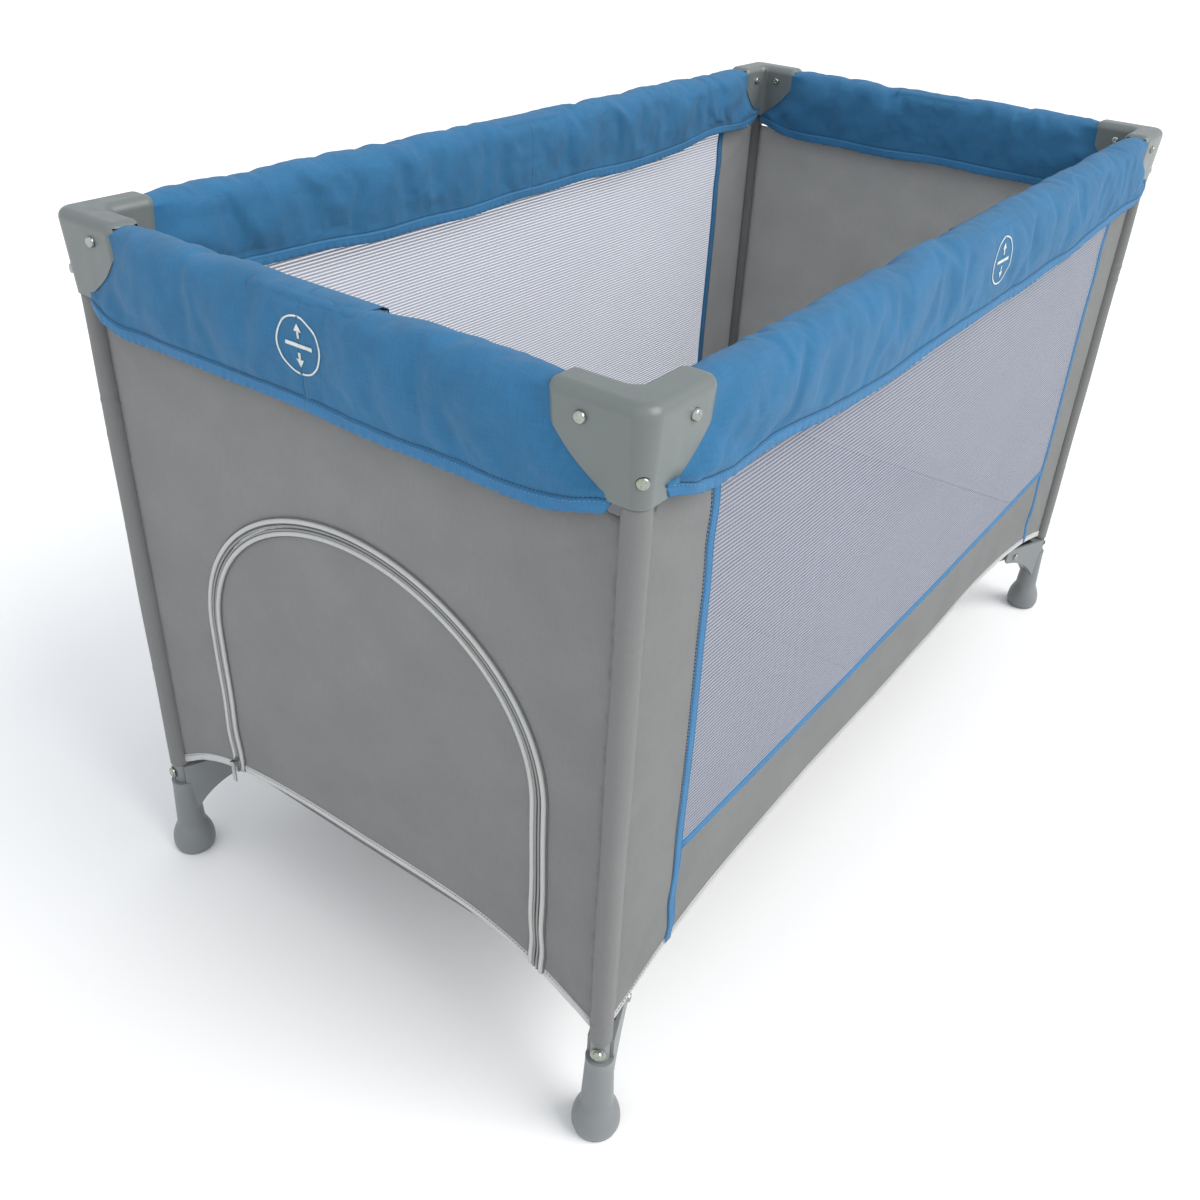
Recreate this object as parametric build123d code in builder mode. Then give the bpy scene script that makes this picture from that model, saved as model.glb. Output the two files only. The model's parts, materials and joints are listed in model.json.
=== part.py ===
"""Folding travel cot and playpen: a steel frame that folds like an umbrella, dressed in fabric.

Frame: +Z up, X along the long side, Y along the short side, origin on the floor under the centre.
The four legs stand upright through the whole fold. Four bottom tubes hinge on a centre hub and on
the feet, and every top rail is two half rails that hinge on the corner caps and on a mid-rail lock.
The long and short sides close together because, along each axis, hub offset + foot offset equals
cap offset + lock offset.
"""
import math
import os

from build123d import *

# Stance
LEG_X = 595.0            # leg axis from the centre, along the long side
LEG_Y = 300.0            # leg axis from the centre, along the short side
RAIL_Z = 740.0           # axis of the top rails
TUBE_Z = 113.0           # axis of the bottom tubes
COVER_TOP_Z = 760.0      # top of the padded rail covers

# Tubes
LEG_RADIUS = 9.5
RAIL_RADIUS = 9.5
BOTTOM_RADIUS = 8.0
TUBE_WALL = 1.2
TUBE_END = 9.0           # tube length past each hinge pin

# Hinge pins
PIN_RADIUS = 3.0
PIN_FIT = 0.05
CAP_PIVOT = 38.0         # leg axis to the rail's pin in the cap
LOCK_PIVOT = 40.0        # middle of the rail to its pin in the lock
FOOT_PIVOT = 62.0        # leg axis to the bottom tube's pin in the foot
HEAD_RADIUS = 4.6
HEAD_HEIGHT = 2.4
HEAD_TAPER = 14
SCREW_RADIUS = 2.45
SCREW_HOLE = 2.6
WASHER_RADIUS = 7.5
WASHER_THICK = 1.3
FACE_GAP = 0.1           # clearance under a washer or a rivet head

# Bottom tubes run diagonally; these are their pin-to-pin lengths along X and Y
CLOSED_GAP = CAP_PIVOT + LOCK_PIVOT
RUN_X = LEG_X - CLOSED_GAP
RUN_Y = LEG_Y - CLOSED_GAP
RUN = math.hypot(RUN_X, RUN_Y)
DIAG_X = RUN_X / RUN
DIAG_Y = RUN_Y / RUN
HUB_PIVOT_X = CLOSED_GAP - FOOT_PIVOT * DIAG_X
HUB_PIVOT_Y = CLOSED_GAP - FOOT_PIVOT * DIAG_Y

# Corner cap
CAP_TOP_Z = 760.0
CAP_TIP_Z = 684.0
CAP_HALF = 17.0
CAP_ARM_END = 70.0       # leg axis to the end of an arm
CAP_SIDE_Z = 745.0       # lowest point of an arm's upright end
CAP_ROOF = 4.0
CAP_TIP_HALF = 12.0
CAP_RIDGE_RADIUS = 16.5  # in plan, at the top
CAP_EDGE_RADIUS = 9.0    # cushioned top edge
CAP_END_RADIUS = 10.5    # corners of an arm's end, in plan
CAP_INNER_RADIUS = 8.0   # corner between the two arms
CAP_CHANNEL_START = 22.0
CAP_CHANNEL_HALF = 10.2
CAP_MOUTH_START = 52.0
CAP_MOUTH_HALF = 12.2
CAP_CHANNEL_DEPTH = 100.0
CAP_SCREW_Z = 705.0
CAP_FACE_AT_RAIL = 16.1  # half width of the drafted cap where a head sits, with a little clearance
CAP_FACE_AT_SCREW = 12.6  # floor of the round seat for the cap screw's head
CAP_SEAT_RADIUS = 5.2
BORE_FIT = 0.15

# Foot
FOOT_BASE_RADIUS = 20.0
FOOT_RIM_RADIUS = 21.6
FOOT_RIM_Z = 4.2
FOOT_BELL_RADIUS = 23.6
FOOT_BELL_Z = 14.0
FOOT_WAIST_RADIUS = 15.4
FOOT_WAIST_Z = 50.0
FOOT_NECK_RADIUS = 13.5
FOOT_CUP_Z = 104.0
FOOT_BORE_Z = 90.0
BRACKET_HALF = 12.5
BRACKET_CHANNEL_HALF = 8.6
BRACKET_TOP_Z = 128.0
BRACKET_FLOOR_Z = 100.0
BRACKET_REACH = 82.0
FOOT_SCREW_Z = 117.0
FOOT_SCREW_DEPTH = 18.0
FOOT_BORE_DEPTH = 24.0

# Centre hub
HUB_PLATE_Z = 126.0
HUB_TOP_Z = 157.5
HUB_LUG_INNER = 8.6
HUB_LUG_OUTER = 12.0
HUB_LUG_DROP = 11.0
HUB_LUG_LENGTH = 14.0
HUB_STEM_RADIUS = 20.0

# Mid-rail lock
LOCK_HALF = 62.0
LOCK_WIDTH_HALF = 15.0
LOCK_BOTTOM_Z = 722.0
LOCK_FLOOR_Z = 726.0
LOCK_TOP_Z = 752.0
LOCK_BLOCK_HALF = 26.4
BUTTON_LENGTH = 16.0
BUTTON_WIDTH = 12.0
BUTTON_BOTTOM_Z = 714.0
BUTTON_TOP_Z = 744.0
SLIDE_FIT = 0.4

# Padded rail covers
SKIRT_BOTTOM_Z = 664.0
SKIRT_OUTER = 22.0
SKIRT_HEM_OUTER = 19.0
SKIRT_INNER = 15.6
PAD_UNDERSIDE_Z = 728.0
COVER_END = 76.0
COVER_HEM_END = 27.0
COVER_NOTCH_Z = 744.0
COVER_HEM_NOTCH_Z = 681.5
COVER_GAP = 0.15
LOCK_ROOM_HALF = 63.6
LOCK_ROOM_TOP_Z = 753.6

# Fabric walls
WALL_HALF = 1.0
WALL_TOP_Z = 708.0
WALL_NOTCH = 24.0
WALL_NOTCH_Z = 668.0
WALL_TO_LEG = 12.0
HEM_CORNER_Z = 134.0
HEM_NEAR = 85.0          # run from the leg axis in which the hem climbs quickly
LONG_HEM_NEAR_Z = 158.0
LONG_HEM_MID_Z = 184.0
SHORT_HEM_NEAR_Z = 172.0
SHORT_HEM_MID_Z = 190.0

# Mesh windows
WINDOW_HALF = 490.0
WINDOW_SILL_Z = 286.0
MESH_LAP = 8.0
MESH_TOP_Z = 706.0
MESH_NEAR = 1.4
MESH_FAR = 2.4

# Zip door in the left end wall
DOOR_CENTRE = -20.0
DOOR_HALF = 205.0
DOOR_SPRING_Z = 370.0
DOOR_RISE = 175.0
DOOR_GAP = 1.5
TRACK_NEAR = 1.0
TRACK_FAR = 9.0
TRACK_FACE = 1.4
TRACK_THICK = 1.6

# Floor cloth and mattress
FLOOR_Z = 158.6
FLOOR_THICK = 1.4
FLOOR_HALF_X = 590.0
FLOOR_HALF_Y = 295.0
FLOOR_NOTCH = 32.0
MAT_Z = 160.6
MAT_THICK = 22.0
MAT_HALF_X = 577.0
MAT_HALF_Y = 285.0
STRAP_WIDTH = 26.0
STRAP_DEPTH = 14.0
STRAP_THICK = 2.2
STRAP_TOP_Z = 181.0

CORNERS = {"fl": (-1, -1), "fr": (1, -1), "bl": (-1, 1), "br": (1, 1)}
LEG_AXIS = Axis((LEG_X, LEG_Y, 0), (0, 0, 1))

# Upright planes at the (+X, +Y) corner
INWARD = Vector(-DIAG_X, -DIAG_Y, 0)
ACROSS = INWARD.cross(Vector(0, 0, 1))
CORNER_XZ = Plane(origin=(LEG_X, LEG_Y, 0), x_dir=(-1, 0, 0), z_dir=(0, 1, 0))
CORNER_YZ = Plane(origin=(LEG_X, LEG_Y, 0), x_dir=(0, -1, 0), z_dir=(-1, 0, 0))
OUTWARD = Plane(origin=(LEG_X, LEG_Y, 0), x_dir=(-1, 1, 0), z_dir=(1, 1, 0))
DIAGONAL = Plane(origin=(LEG_X, LEG_Y, 0), x_dir=INWARD, z_dir=ACROSS)
RAIL_SIDE = Plane(origin=(0, 0, 0), x_dir=(1, 0, 0), z_dir=(0, -1, 0))

os.makedirs("parts", exist_ok=True)


def save(piece, name):
    """Label a finished piece and write it as its own file."""
    piece.label = name
    export_step(piece, f"parts/{name}.step")


def at_corner(master, side_x, side_y):
    """Carry a piece of the (+X, +Y) corner to another corner by mirroring."""
    shape = master
    if side_x < 0:
        shape = mirror(shape, about=Plane.YZ, mode=Mode.PRIVATE)
    if side_y < 0:
        shape = mirror(shape, about=Plane.XZ, mode=Mode.PRIVATE)
    with BuildPart() as placed:
        add(shape)
    return placed.part


def turned(master, offset_x, offset_y, turn):
    """Carry a piece built along +X to its side of the cot by turning it about the vertical."""
    with BuildPart() as placed:
        with Locations(Location((offset_x, offset_y, 0), (0, 0, turn))):
            add(master)
    return placed.part


def across_pin(plane, distance, height, reach, radius):
    """Cut a round hole through a piece, square to an upright plane."""
    with BuildSketch(plane) as hole:
        with Locations((distance, height)):
            Circle(radius)
    extrude(hole.sketch, amount=reach, both=True, mode=Mode.SUBTRACT)


# ---------------------------------------------------------------- corner pieces, built at (+X, +Y)

# Leg: a straight steel tube, pierced for the cap screw and the foot screw
with BuildPart() as leg_tube:
    with BuildSketch(Plane.XY.offset(FOOT_BORE_Z + 1)):
        with Locations((LEG_X, LEG_Y)):
            Circle(LEG_RADIUS)
            Circle(LEG_RADIUS - TUBE_WALL, mode=Mode.SUBTRACT)
    extrude(amount=CAP_TOP_Z - 9 - FOOT_BORE_Z - 1)
    with BuildSketch(OUTWARD):
        with Locations((0, CAP_SCREW_Z)):
            Circle(SCREW_HOLE)
    extrude(amount=LEG_RADIUS + 1, mode=Mode.SUBTRACT)
    across_pin(Plane(origin=(LEG_X, LEG_Y, 0), x_dir=ACROSS, z_dir=-INWARD), 0, FOOT_SCREW_Z, 12, SCREW_HOLE)

def cap_side(side_plane):
    """Sloping side profile of one arm of the cap, as wide as the whole corner."""
    with BuildPart() as side:
        with BuildSketch(side_plane) as side_profile:
            with BuildLine() as side_line:
                Polyline(
                    (-CAP_HALF - 1, CAP_TIP_Z),
                    (-CAP_HALF - 1, CAP_TOP_Z + 1),
                    (CAP_ARM_END + 1, CAP_TOP_Z + 1),
                    (CAP_ARM_END + 1, CAP_SIDE_Z),
                )
                Spline(
                    (CAP_ARM_END + 1, CAP_SIDE_Z),
                    (61, 726),
                    (48, 711),
                    (32, 698),
                    (20, 689.5),
                    (CAP_TIP_HALF - 4, CAP_TIP_Z),
                    tangents=[(-0.12, -1), (-1, -0.22)],
                )
                Line((CAP_TIP_HALF - 4, CAP_TIP_Z), (-CAP_HALF - 1, CAP_TIP_Z))
            make_face(side_line.edges())
        extrude(side_profile.sketch, amount=CAP_HALF + 1, both=True)
    return side.part


def at_arm_end(vertex):
    """True for the plan corners at the far ends of the cap's arms."""
    return max(vertex.X, vertex.Y) > CAP_ARM_END - 1


# Corner cap: a moulded corner with two arms, each a channel open below for its half rail
CAP_PLAN = Plane(origin=(LEG_X, LEG_Y, CAP_TOP_Z), x_dir=(0, -1, 0), z_dir=(0, 0, -1))
CAP_DEPTH = CAP_TOP_Z - CAP_TIP_Z
CAP_DRAFT = math.degrees(math.atan((CAP_HALF - CAP_TIP_HALF) / CAP_DEPTH))
with BuildPart() as cap_sides:
    add(cap_side(CORNER_XZ))
    add(cap_side(CORNER_YZ))
with BuildPart() as corner_cap:
    with BuildSketch(CAP_PLAN) as cap_plan:
        with BuildLine():
            Polyline(
                (-CAP_HALF, -CAP_HALF),
                (CAP_ARM_END, -CAP_HALF),
                (CAP_ARM_END, CAP_HALF),
                (CAP_HALF, CAP_HALF),
                (CAP_HALF, CAP_ARM_END),
                (-CAP_HALF, CAP_ARM_END),
                (-CAP_HALF, -CAP_HALF),
            )
        make_face()
        fillet(cap_plan.vertices().sort_by_distance((-CAP_HALF, -CAP_HALF))[:1], radius=CAP_RIDGE_RADIUS)
        fillet(cap_plan.vertices().sort_by_distance((CAP_HALF, CAP_HALF))[:1], radius=CAP_INNER_RADIUS)
        fillet(cap_plan.vertices().filter_by(at_arm_end), radius=CAP_END_RADIUS)
    extrude(amount=CAP_DEPTH, taper=CAP_DRAFT)
    fillet(corner_cap.faces().sort_by(Axis.Z)[-1].edges(), radius=CAP_EDGE_RADIUS)
    add(cap_sides.part, mode=Mode.INTERSECT)
    for channel_plane in (CORNER_XZ, CORNER_YZ):
        for start, half in ((CAP_CHANNEL_START, CAP_CHANNEL_HALF), (CAP_MOUTH_START, CAP_MOUTH_HALF)):
            with BuildSketch(channel_plane):
                with Locations((start, CAP_TOP_Z - CAP_ROOF)):
                    Rectangle(CAP_ARM_END, CAP_CHANNEL_DEPTH, align=(Align.MIN, Align.MAX))
            extrude(amount=half, both=True, mode=Mode.SUBTRACT)
        across_pin(channel_plane, CAP_PIVOT, RAIL_Z, CAP_HALF + 1, PIN_RADIUS + PIN_FIT)
    with BuildSketch(Plane.XY.offset(CAP_TIP_Z - 1)):
        with Locations((LEG_X, LEG_Y)):
            Circle(LEG_RADIUS + BORE_FIT)
    extrude(amount=CAP_TOP_Z - 8 - CAP_TIP_Z + 1, mode=Mode.SUBTRACT)
    with BuildSketch(OUTWARD):
        with Locations((0, CAP_SCREW_Z)):
            Circle(SCREW_HOLE)
    extrude(amount=CAP_HALF + 1, mode=Mode.SUBTRACT)
    with BuildSketch(OUTWARD.offset(CAP_FACE_AT_SCREW - FACE_GAP)):
        with Locations((0, CAP_SCREW_Z)):
            Circle(CAP_SEAT_RADIUS)
    extrude(amount=CAP_HALF, mode=Mode.SUBTRACT)

# Foot: a rounded base, a neck that takes the leg, and a channel open above for the bottom tube
with BuildPart() as foot:
    with BuildSketch(CORNER_XZ):
        with BuildLine():
            Polyline(
                (0, 0),
                (FOOT_BASE_RADIUS, 0),
                (FOOT_RIM_RADIUS, 1.6),
                (FOOT_RIM_RADIUS, FOOT_RIM_Z),
                (FOOT_RIM_RADIUS + 1, FOOT_RIM_Z + 0.8),
            )
            Spline(
                (FOOT_RIM_RADIUS + 1, FOOT_RIM_Z + 0.8),
                (FOOT_BELL_RADIUS, FOOT_BELL_Z),
                (21.4, 26),
                (16.8, 37),
                (FOOT_WAIST_RADIUS, FOOT_WAIST_Z),
                tangents=[(0.5, 1), (-0.04, 1)],
            )
            Polyline(
                (FOOT_WAIST_RADIUS, FOOT_WAIST_Z),
                (FOOT_NECK_RADIUS, FOOT_CUP_Z - 8),
                (FOOT_NECK_RADIUS, FOOT_CUP_Z),
                (0, FOOT_CUP_Z),
                (0, 0),
            )
        make_face()
    revolve(axis=LEG_AXIS)
    with BuildSketch(DIAGONAL):
        with BuildLine():
            Polyline((0, BRACKET_TOP_Z), (BRACKET_REACH - 6, BRACKET_TOP_Z))
            ThreePointArc((BRACKET_REACH - 6, BRACKET_TOP_Z), (BRACKET_REACH, 117), (BRACKET_REACH - 4, 104))
            ThreePointArc((BRACKET_REACH - 4, 104), (36, 90), (6, 58))
            Polyline((6, 58), (0, 58), (0, BRACKET_TOP_Z))
        make_face()
    extrude(amount=BRACKET_HALF, both=True)
    with BuildSketch(DIAGONAL):
        with Locations((22 + BRACKET_REACH / 2, BRACKET_FLOOR_Z + 25)):
            Rectangle(BRACKET_REACH, 50)
    extrude(amount=BRACKET_CHANNEL_HALF, both=True, mode=Mode.SUBTRACT)
    with BuildSketch(Plane.XY.offset(FOOT_BORE_Z)):
        with Locations((LEG_X, LEG_Y)):
            Circle(LEG_RADIUS + BORE_FIT)
    extrude(amount=BRACKET_TOP_Z, mode=Mode.SUBTRACT)
    across_pin(DIAGONAL, FOOT_PIVOT, TUBE_Z, BRACKET_HALF + 1, PIN_RADIUS + PIN_FIT)
    with BuildSketch(Plane(origin=(LEG_X, LEG_Y, 0), x_dir=-ACROSS, z_dir=INWARD)):
        with Locations((0, FOOT_SCREW_Z)):
            Circle(SCREW_HOLE)
    extrude(amount=FOOT_BORE_DEPTH, mode=Mode.SUBTRACT)

# Screws and rivets of one leg: two rail pins, the cap screw, the foot screw and the tube pin
with BuildPart() as leg_fasteners:
    for pin_plane in (CORNER_XZ, CORNER_YZ):
        with BuildSketch(pin_plane):
            with Locations((CAP_PIVOT, RAIL_Z)):
                Circle(PIN_RADIUS)
        extrude(amount=CAP_FACE_AT_RAIL, both=True)
        for side in (-1, 1):
            with BuildSketch(pin_plane.offset(side * CAP_FACE_AT_RAIL)):
                with Locations((CAP_PIVOT, RAIL_Z)):
                    Circle(HEAD_RADIUS)
            extrude(amount=side * HEAD_HEIGHT, taper=HEAD_TAPER)
    with BuildSketch(OUTWARD):
        with Locations((0, CAP_SCREW_Z)):
            Circle(SCREW_RADIUS)
    extrude(amount=CAP_FACE_AT_SCREW)
    with BuildSketch(OUTWARD.offset(CAP_FACE_AT_SCREW)):
        with Locations((0, CAP_SCREW_Z)):
            Circle(HEAD_RADIUS)
    extrude(amount=HEAD_HEIGHT, taper=HEAD_TAPER)
    outward_face = Plane(origin=(LEG_X, LEG_Y, 0), x_dir=ACROSS, z_dir=-INWARD)
    with BuildSketch(outward_face.offset(-FOOT_SCREW_DEPTH)):
        with Locations((0, FOOT_SCREW_Z)):
            Circle(SCREW_RADIUS)
    extrude(amount=FOOT_SCREW_DEPTH + LEG_RADIUS + WASHER_THICK)
    with BuildSketch(outward_face.offset(LEG_RADIUS + FACE_GAP)):
        with Locations((0, FOOT_SCREW_Z)):
            Circle(WASHER_RADIUS)
    extrude(amount=WASHER_THICK)
    with BuildSketch(outward_face.offset(LEG_RADIUS + FACE_GAP + WASHER_THICK)):
        with Locations((0, FOOT_SCREW_Z)):
            Circle(HEAD_RADIUS)
    extrude(amount=HEAD_HEIGHT, taper=HEAD_TAPER)
    with BuildSketch(DIAGONAL):
        with Locations((FOOT_PIVOT, TUBE_Z)):
            Circle(PIN_RADIUS)
    extrude(amount=BRACKET_HALF + FACE_GAP, both=True)
    for side in (-1, 1):
        with BuildSketch(DIAGONAL.offset(side * (BRACKET_HALF + FACE_GAP))):
            with Locations((FOOT_PIVOT, TUBE_Z)):
                Circle(HEAD_RADIUS)
        extrude(amount=side * HEAD_HEIGHT, taper=HEAD_TAPER)

# Bottom tube: from the foot's pin to the hub's pin
TUBE_START = Vector(HUB_PIVOT_X, HUB_PIVOT_Y, TUBE_Z) + INWARD * TUBE_END
with BuildPart() as bottom_tube:
    with BuildSketch(Plane(origin=TUBE_START, x_dir=(0, 0, 1), z_dir=-INWARD)):
        Circle(BOTTOM_RADIUS)
        Circle(BOTTOM_RADIUS - TUBE_WALL, mode=Mode.SUBTRACT)
    extrude(amount=RUN + 2 * TUBE_END)
    for pivot_distance in (FOOT_PIVOT, FOOT_PIVOT + RUN):
        across_pin(DIAGONAL, pivot_distance, TUBE_Z, BOTTOM_RADIUS + 1, PIN_RADIUS + PIN_FIT)

for corner, (side_x, side_y) in CORNERS.items():
    save(at_corner(leg_tube.part, side_x, side_y), f"leg_tube_{corner}")
    save(at_corner(corner_cap.part, side_x, side_y), f"corner_cap_{corner}")
    save(at_corner(foot.part, side_x, side_y), f"foot_{corner}")
    save(at_corner(leg_fasteners.part, side_x, side_y), f"leg_fasteners_{corner}")
    save(at_corner(bottom_tube.part, side_x, side_y), f"bottom_tube_{corner}")

# ---------------------------------------------------------------- centre hub

# Hub: a domed plate on a stem, with a pair of lugs round every bottom tube, open below and outward
with BuildPart() as hub_housing:
    with BuildSketch(Plane.XY.offset(HUB_PLATE_Z)):
        RectangleRounded(88, 150, 24)
    extrude(amount=7)
    with BuildSketch(Plane.XY.offset(HUB_PLATE_Z + 7)):
        RectangleRounded(78, 138, 22)
    extrude(amount=HUB_TOP_Z - HUB_PLATE_Z - 7, taper=38)
    fillet(hub_housing.faces().sort_by(Axis.Z)[-1].edges(), radius=5)
    for side_x, side_y in CORNERS.values():
        lug_along = Vector(side_x * DIAG_X, side_y * DIAG_Y, 0)
        lug_across = lug_along.cross(Vector(0, 0, 1))
        lug_origin = (side_x * HUB_PIVOT_X, side_y * HUB_PIVOT_Y, 0)
        lug_plane = Plane(origin=lug_origin, x_dir=lug_along, z_dir=lug_across)
        for lug_side in (-1, 1):
            with BuildSketch(lug_plane.offset(lug_side * HUB_LUG_INNER)):
                with Locations((0, (TUBE_Z - HUB_LUG_DROP + HUB_PLATE_Z + 1) / 2)):
                    Rectangle(2 * HUB_LUG_LENGTH, HUB_PLATE_Z + 1 - TUBE_Z + HUB_LUG_DROP)
                with Locations((0, TUBE_Z)):
                    Circle(PIN_RADIUS + PIN_FIT, mode=Mode.SUBTRACT)
            extrude(amount=lug_side * (HUB_LUG_OUTER - HUB_LUG_INNER))
    with BuildSketch(Plane.XZ):
        with BuildLine():
            Polyline((0, 0), (30, 0), (31, 2), (31, 6), (24, 11), (HUB_STEM_RADIUS, 22))
            Polyline((HUB_STEM_RADIUS, 22), (HUB_STEM_RADIUS, HUB_PLATE_Z + 1), (0, HUB_PLATE_Z + 1), (0, 0))
        make_face()
    revolve(axis=Axis.Z)
save(hub_housing.part, "hub_housing")

# Four headed pins that carry the bottom tubes in the hub
with BuildPart() as hub_rivets:
    for side_x, side_y in CORNERS.values():
        pin_along = Vector(side_x * DIAG_X, side_y * DIAG_Y, 0)
        pin_across = pin_along.cross(Vector(0, 0, 1))
        pin_origin = (side_x * HUB_PIVOT_X, side_y * HUB_PIVOT_Y, TUBE_Z)
        hub_pin_plane = Plane(origin=pin_origin, x_dir=pin_along, z_dir=pin_across)
        with BuildSketch(hub_pin_plane):
            Circle(PIN_RADIUS)
        extrude(amount=HUB_LUG_OUTER + FACE_GAP, both=True)
        for head_side in (-1, 1):
            with BuildSketch(hub_pin_plane.offset(head_side * (HUB_LUG_OUTER + FACE_GAP))):
                Circle(HEAD_RADIUS)
            extrude(amount=head_side * HEAD_HEIGHT, taper=HEAD_TAPER)
save(hub_rivets.part, "hub_rivets")

# Lifting strap: a low loop of webbing on the hub, in the slots of the floor cloth and the mattress
with BuildPart() as pull_strap:
    with BuildSketch(Plane.YZ):
        with Locations((0, (HUB_TOP_Z + 0.1 + STRAP_TOP_Z) / 2)):
            RectangleRounded(STRAP_DEPTH, STRAP_TOP_Z - HUB_TOP_Z - 0.1, STRAP_DEPTH / 2 - 0.5)
        offset(amount=-STRAP_THICK, mode=Mode.SUBTRACT)
    extrude(amount=STRAP_WIDTH / 2, both=True)
save(pull_strap.part, "pull_strap")

# ---------------------------------------------------------------- top rails, covers and locks

def half_rail(half_run):
    """Half rail tube along +X, from the lock's pin to the cap's pin, for one side of the cot."""
    with BuildPart() as rail:
        with BuildSketch(Plane.YZ.offset(LOCK_PIVOT - TUBE_END)):
            with Locations((0, RAIL_Z)):
                Circle(RAIL_RADIUS)
                Circle(RAIL_RADIUS - TUBE_WALL, mode=Mode.SUBTRACT)
        extrude(amount=half_run - CLOSED_GAP + 2 * TUBE_END)
        for pivot_distance in (LOCK_PIVOT, half_run - CAP_PIVOT):
            across_pin(RAIL_SIDE, pivot_distance, RAIL_Z, RAIL_RADIUS + 1, PIN_RADIUS + PIN_FIT)
    return rail.part


def rail_cover(half_run):
    """Padded sleeve over a half rail, with two skirts that hang on either side of the wall."""
    with BuildPart() as cover:
        with BuildSketch(Plane.YZ.offset(COVER_GAP)):
            with BuildLine():
                Line((-SKIRT_HEM_OUTER, SKIRT_BOTTOM_Z), (-SKIRT_OUTER, RAIL_Z - 4))
                ThreePointArc((-SKIRT_OUTER, RAIL_Z - 4), (0, COVER_TOP_Z), (SKIRT_OUTER, RAIL_Z - 4))
                Line((SKIRT_OUTER, RAIL_Z - 4), (SKIRT_HEM_OUTER, SKIRT_BOTTOM_Z))
                Polyline(
                    (SKIRT_HEM_OUTER, SKIRT_BOTTOM_Z),
                    (SKIRT_INNER, SKIRT_BOTTOM_Z),
                    (SKIRT_INNER, PAD_UNDERSIDE_Z),
                    (-SKIRT_INNER, PAD_UNDERSIDE_Z),
                    (-SKIRT_INNER, SKIRT_BOTTOM_Z),
                    (-SKIRT_HEM_OUTER, SKIRT_BOTTOM_Z),
                )
            make_face()
            with Locations((0, RAIL_Z)):
                Circle(RAIL_RADIUS + 0.4, mode=Mode.SUBTRACT)
        extrude(amount=half_run)
        with BuildSketch(RAIL_SIDE):
            Polygon(
                (0, SKIRT_BOTTOM_Z - 1),
                (half_run - COVER_HEM_END, SKIRT_BOTTOM_Z - 1),
                (half_run - COVER_HEM_END, COVER_HEM_NOTCH_Z),
                (half_run - COVER_END, COVER_NOTCH_Z),
                (half_run - COVER_END, COVER_TOP_Z + 1),
                (0, COVER_TOP_Z + 1),
                align=None,
            )
        extrude(amount=SKIRT_OUTER + 1, both=True, mode=Mode.INTERSECT)
        with BuildSketch(RAIL_SIDE):
            with Locations((0, (SKIRT_BOTTOM_Z + LOCK_ROOM_TOP_Z) / 2)):
                Rectangle(2 * LOCK_ROOM_HALF, LOCK_ROOM_TOP_Z - SKIRT_BOTTOM_Z + 2)
        extrude(amount=SKIRT_INNER, both=True, mode=Mode.SUBTRACT)
    return cover.part


# Mid-rail lock: a channel open above, two cross pins, and a block with a slot for the button
with BuildPart() as rail_lock:
    with BuildSketch(Plane.XY.offset(LOCK_BOTTOM_Z)):
        RectangleRounded(2 * LOCK_HALF, 2 * LOCK_WIDTH_HALF, 5)
    extrude(amount=LOCK_TOP_Z - LOCK_BOTTOM_Z)
    fillet(rail_lock.faces().sort_by(Axis.Z)[0].edges(), radius=2)
    for end in (-1, 1):
        with BuildSketch(Plane.XY.offset(LOCK_FLOOR_Z)):
            with Locations((end * (LOCK_BLOCK_HALF + LOCK_HALF) / 2, 0)):
                Rectangle(LOCK_HALF - LOCK_BLOCK_HALF, 2 * CAP_CHANNEL_HALF)
        extrude(amount=LOCK_TOP_Z - LOCK_FLOOR_Z, mode=Mode.SUBTRACT)
        with BuildSketch(RAIL_SIDE):
            with Locations((end * LOCK_PIVOT, RAIL_Z)):
                Circle(PIN_RADIUS)
        extrude(amount=LOCK_WIDTH_HALF - 0.5, both=True)
    with BuildSketch(Plane.XY.offset(LOCK_BOTTOM_Z - 1)):
        Rectangle(BUTTON_LENGTH + 2 * SLIDE_FIT, BUTTON_WIDTH + 2 * SLIDE_FIT)
    extrude(amount=LOCK_TOP_Z - LOCK_BOTTOM_Z + 2, mode=Mode.SUBTRACT)

# Release button: pressed up from below the rail
with BuildPart() as lock_button:
    with BuildSketch(Plane.XY.offset(BUTTON_BOTTOM_Z)):
        RectangleRounded(BUTTON_LENGTH, BUTTON_WIDTH, 3)
    extrude(amount=BUTTON_TOP_Z - BUTTON_BOTTOM_Z)
    fillet(lock_button.faces().sort_by(Axis.Z)[0].edges(), radius=1.6)

long_rail = half_rail(LEG_X)
short_rail = half_rail(LEG_Y)
long_cover = rail_cover(LEG_X)
short_cover = rail_cover(LEG_Y)

# Side, its two ends, position of the side's middle, and the turn that points +X at each end
SIDES = (
    ("front", 0, -LEG_Y, (("right", 0), ("left", 180)), long_rail, long_cover),
    ("back", 0, LEG_Y, (("right", 0), ("left", 180)), long_rail, long_cover),
    ("left", -LEG_X, 0, (("back", 90), ("front", -90)), short_rail, short_cover),
    ("right", LEG_X, 0, (("back", 90), ("front", -90)), short_rail, short_cover),
)
for side_name, middle_x, middle_y, ends, rail_master, cover_master in SIDES:
    for end_name, turn in ends:
        save(turned(rail_master, middle_x, middle_y, turn), f"rail_{side_name}_{end_name}")
        save(turned(cover_master, middle_x, middle_y, turn), f"cover_{side_name}_{end_name}")
    save(turned(rail_lock.part, middle_x, middle_y, ends[0][1]), f"lock_{side_name}")
    save(turned(lock_button.part, middle_x, middle_y, ends[0][1]), f"button_{side_name}")

# ---------------------------------------------------------------- fabric walls

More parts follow.
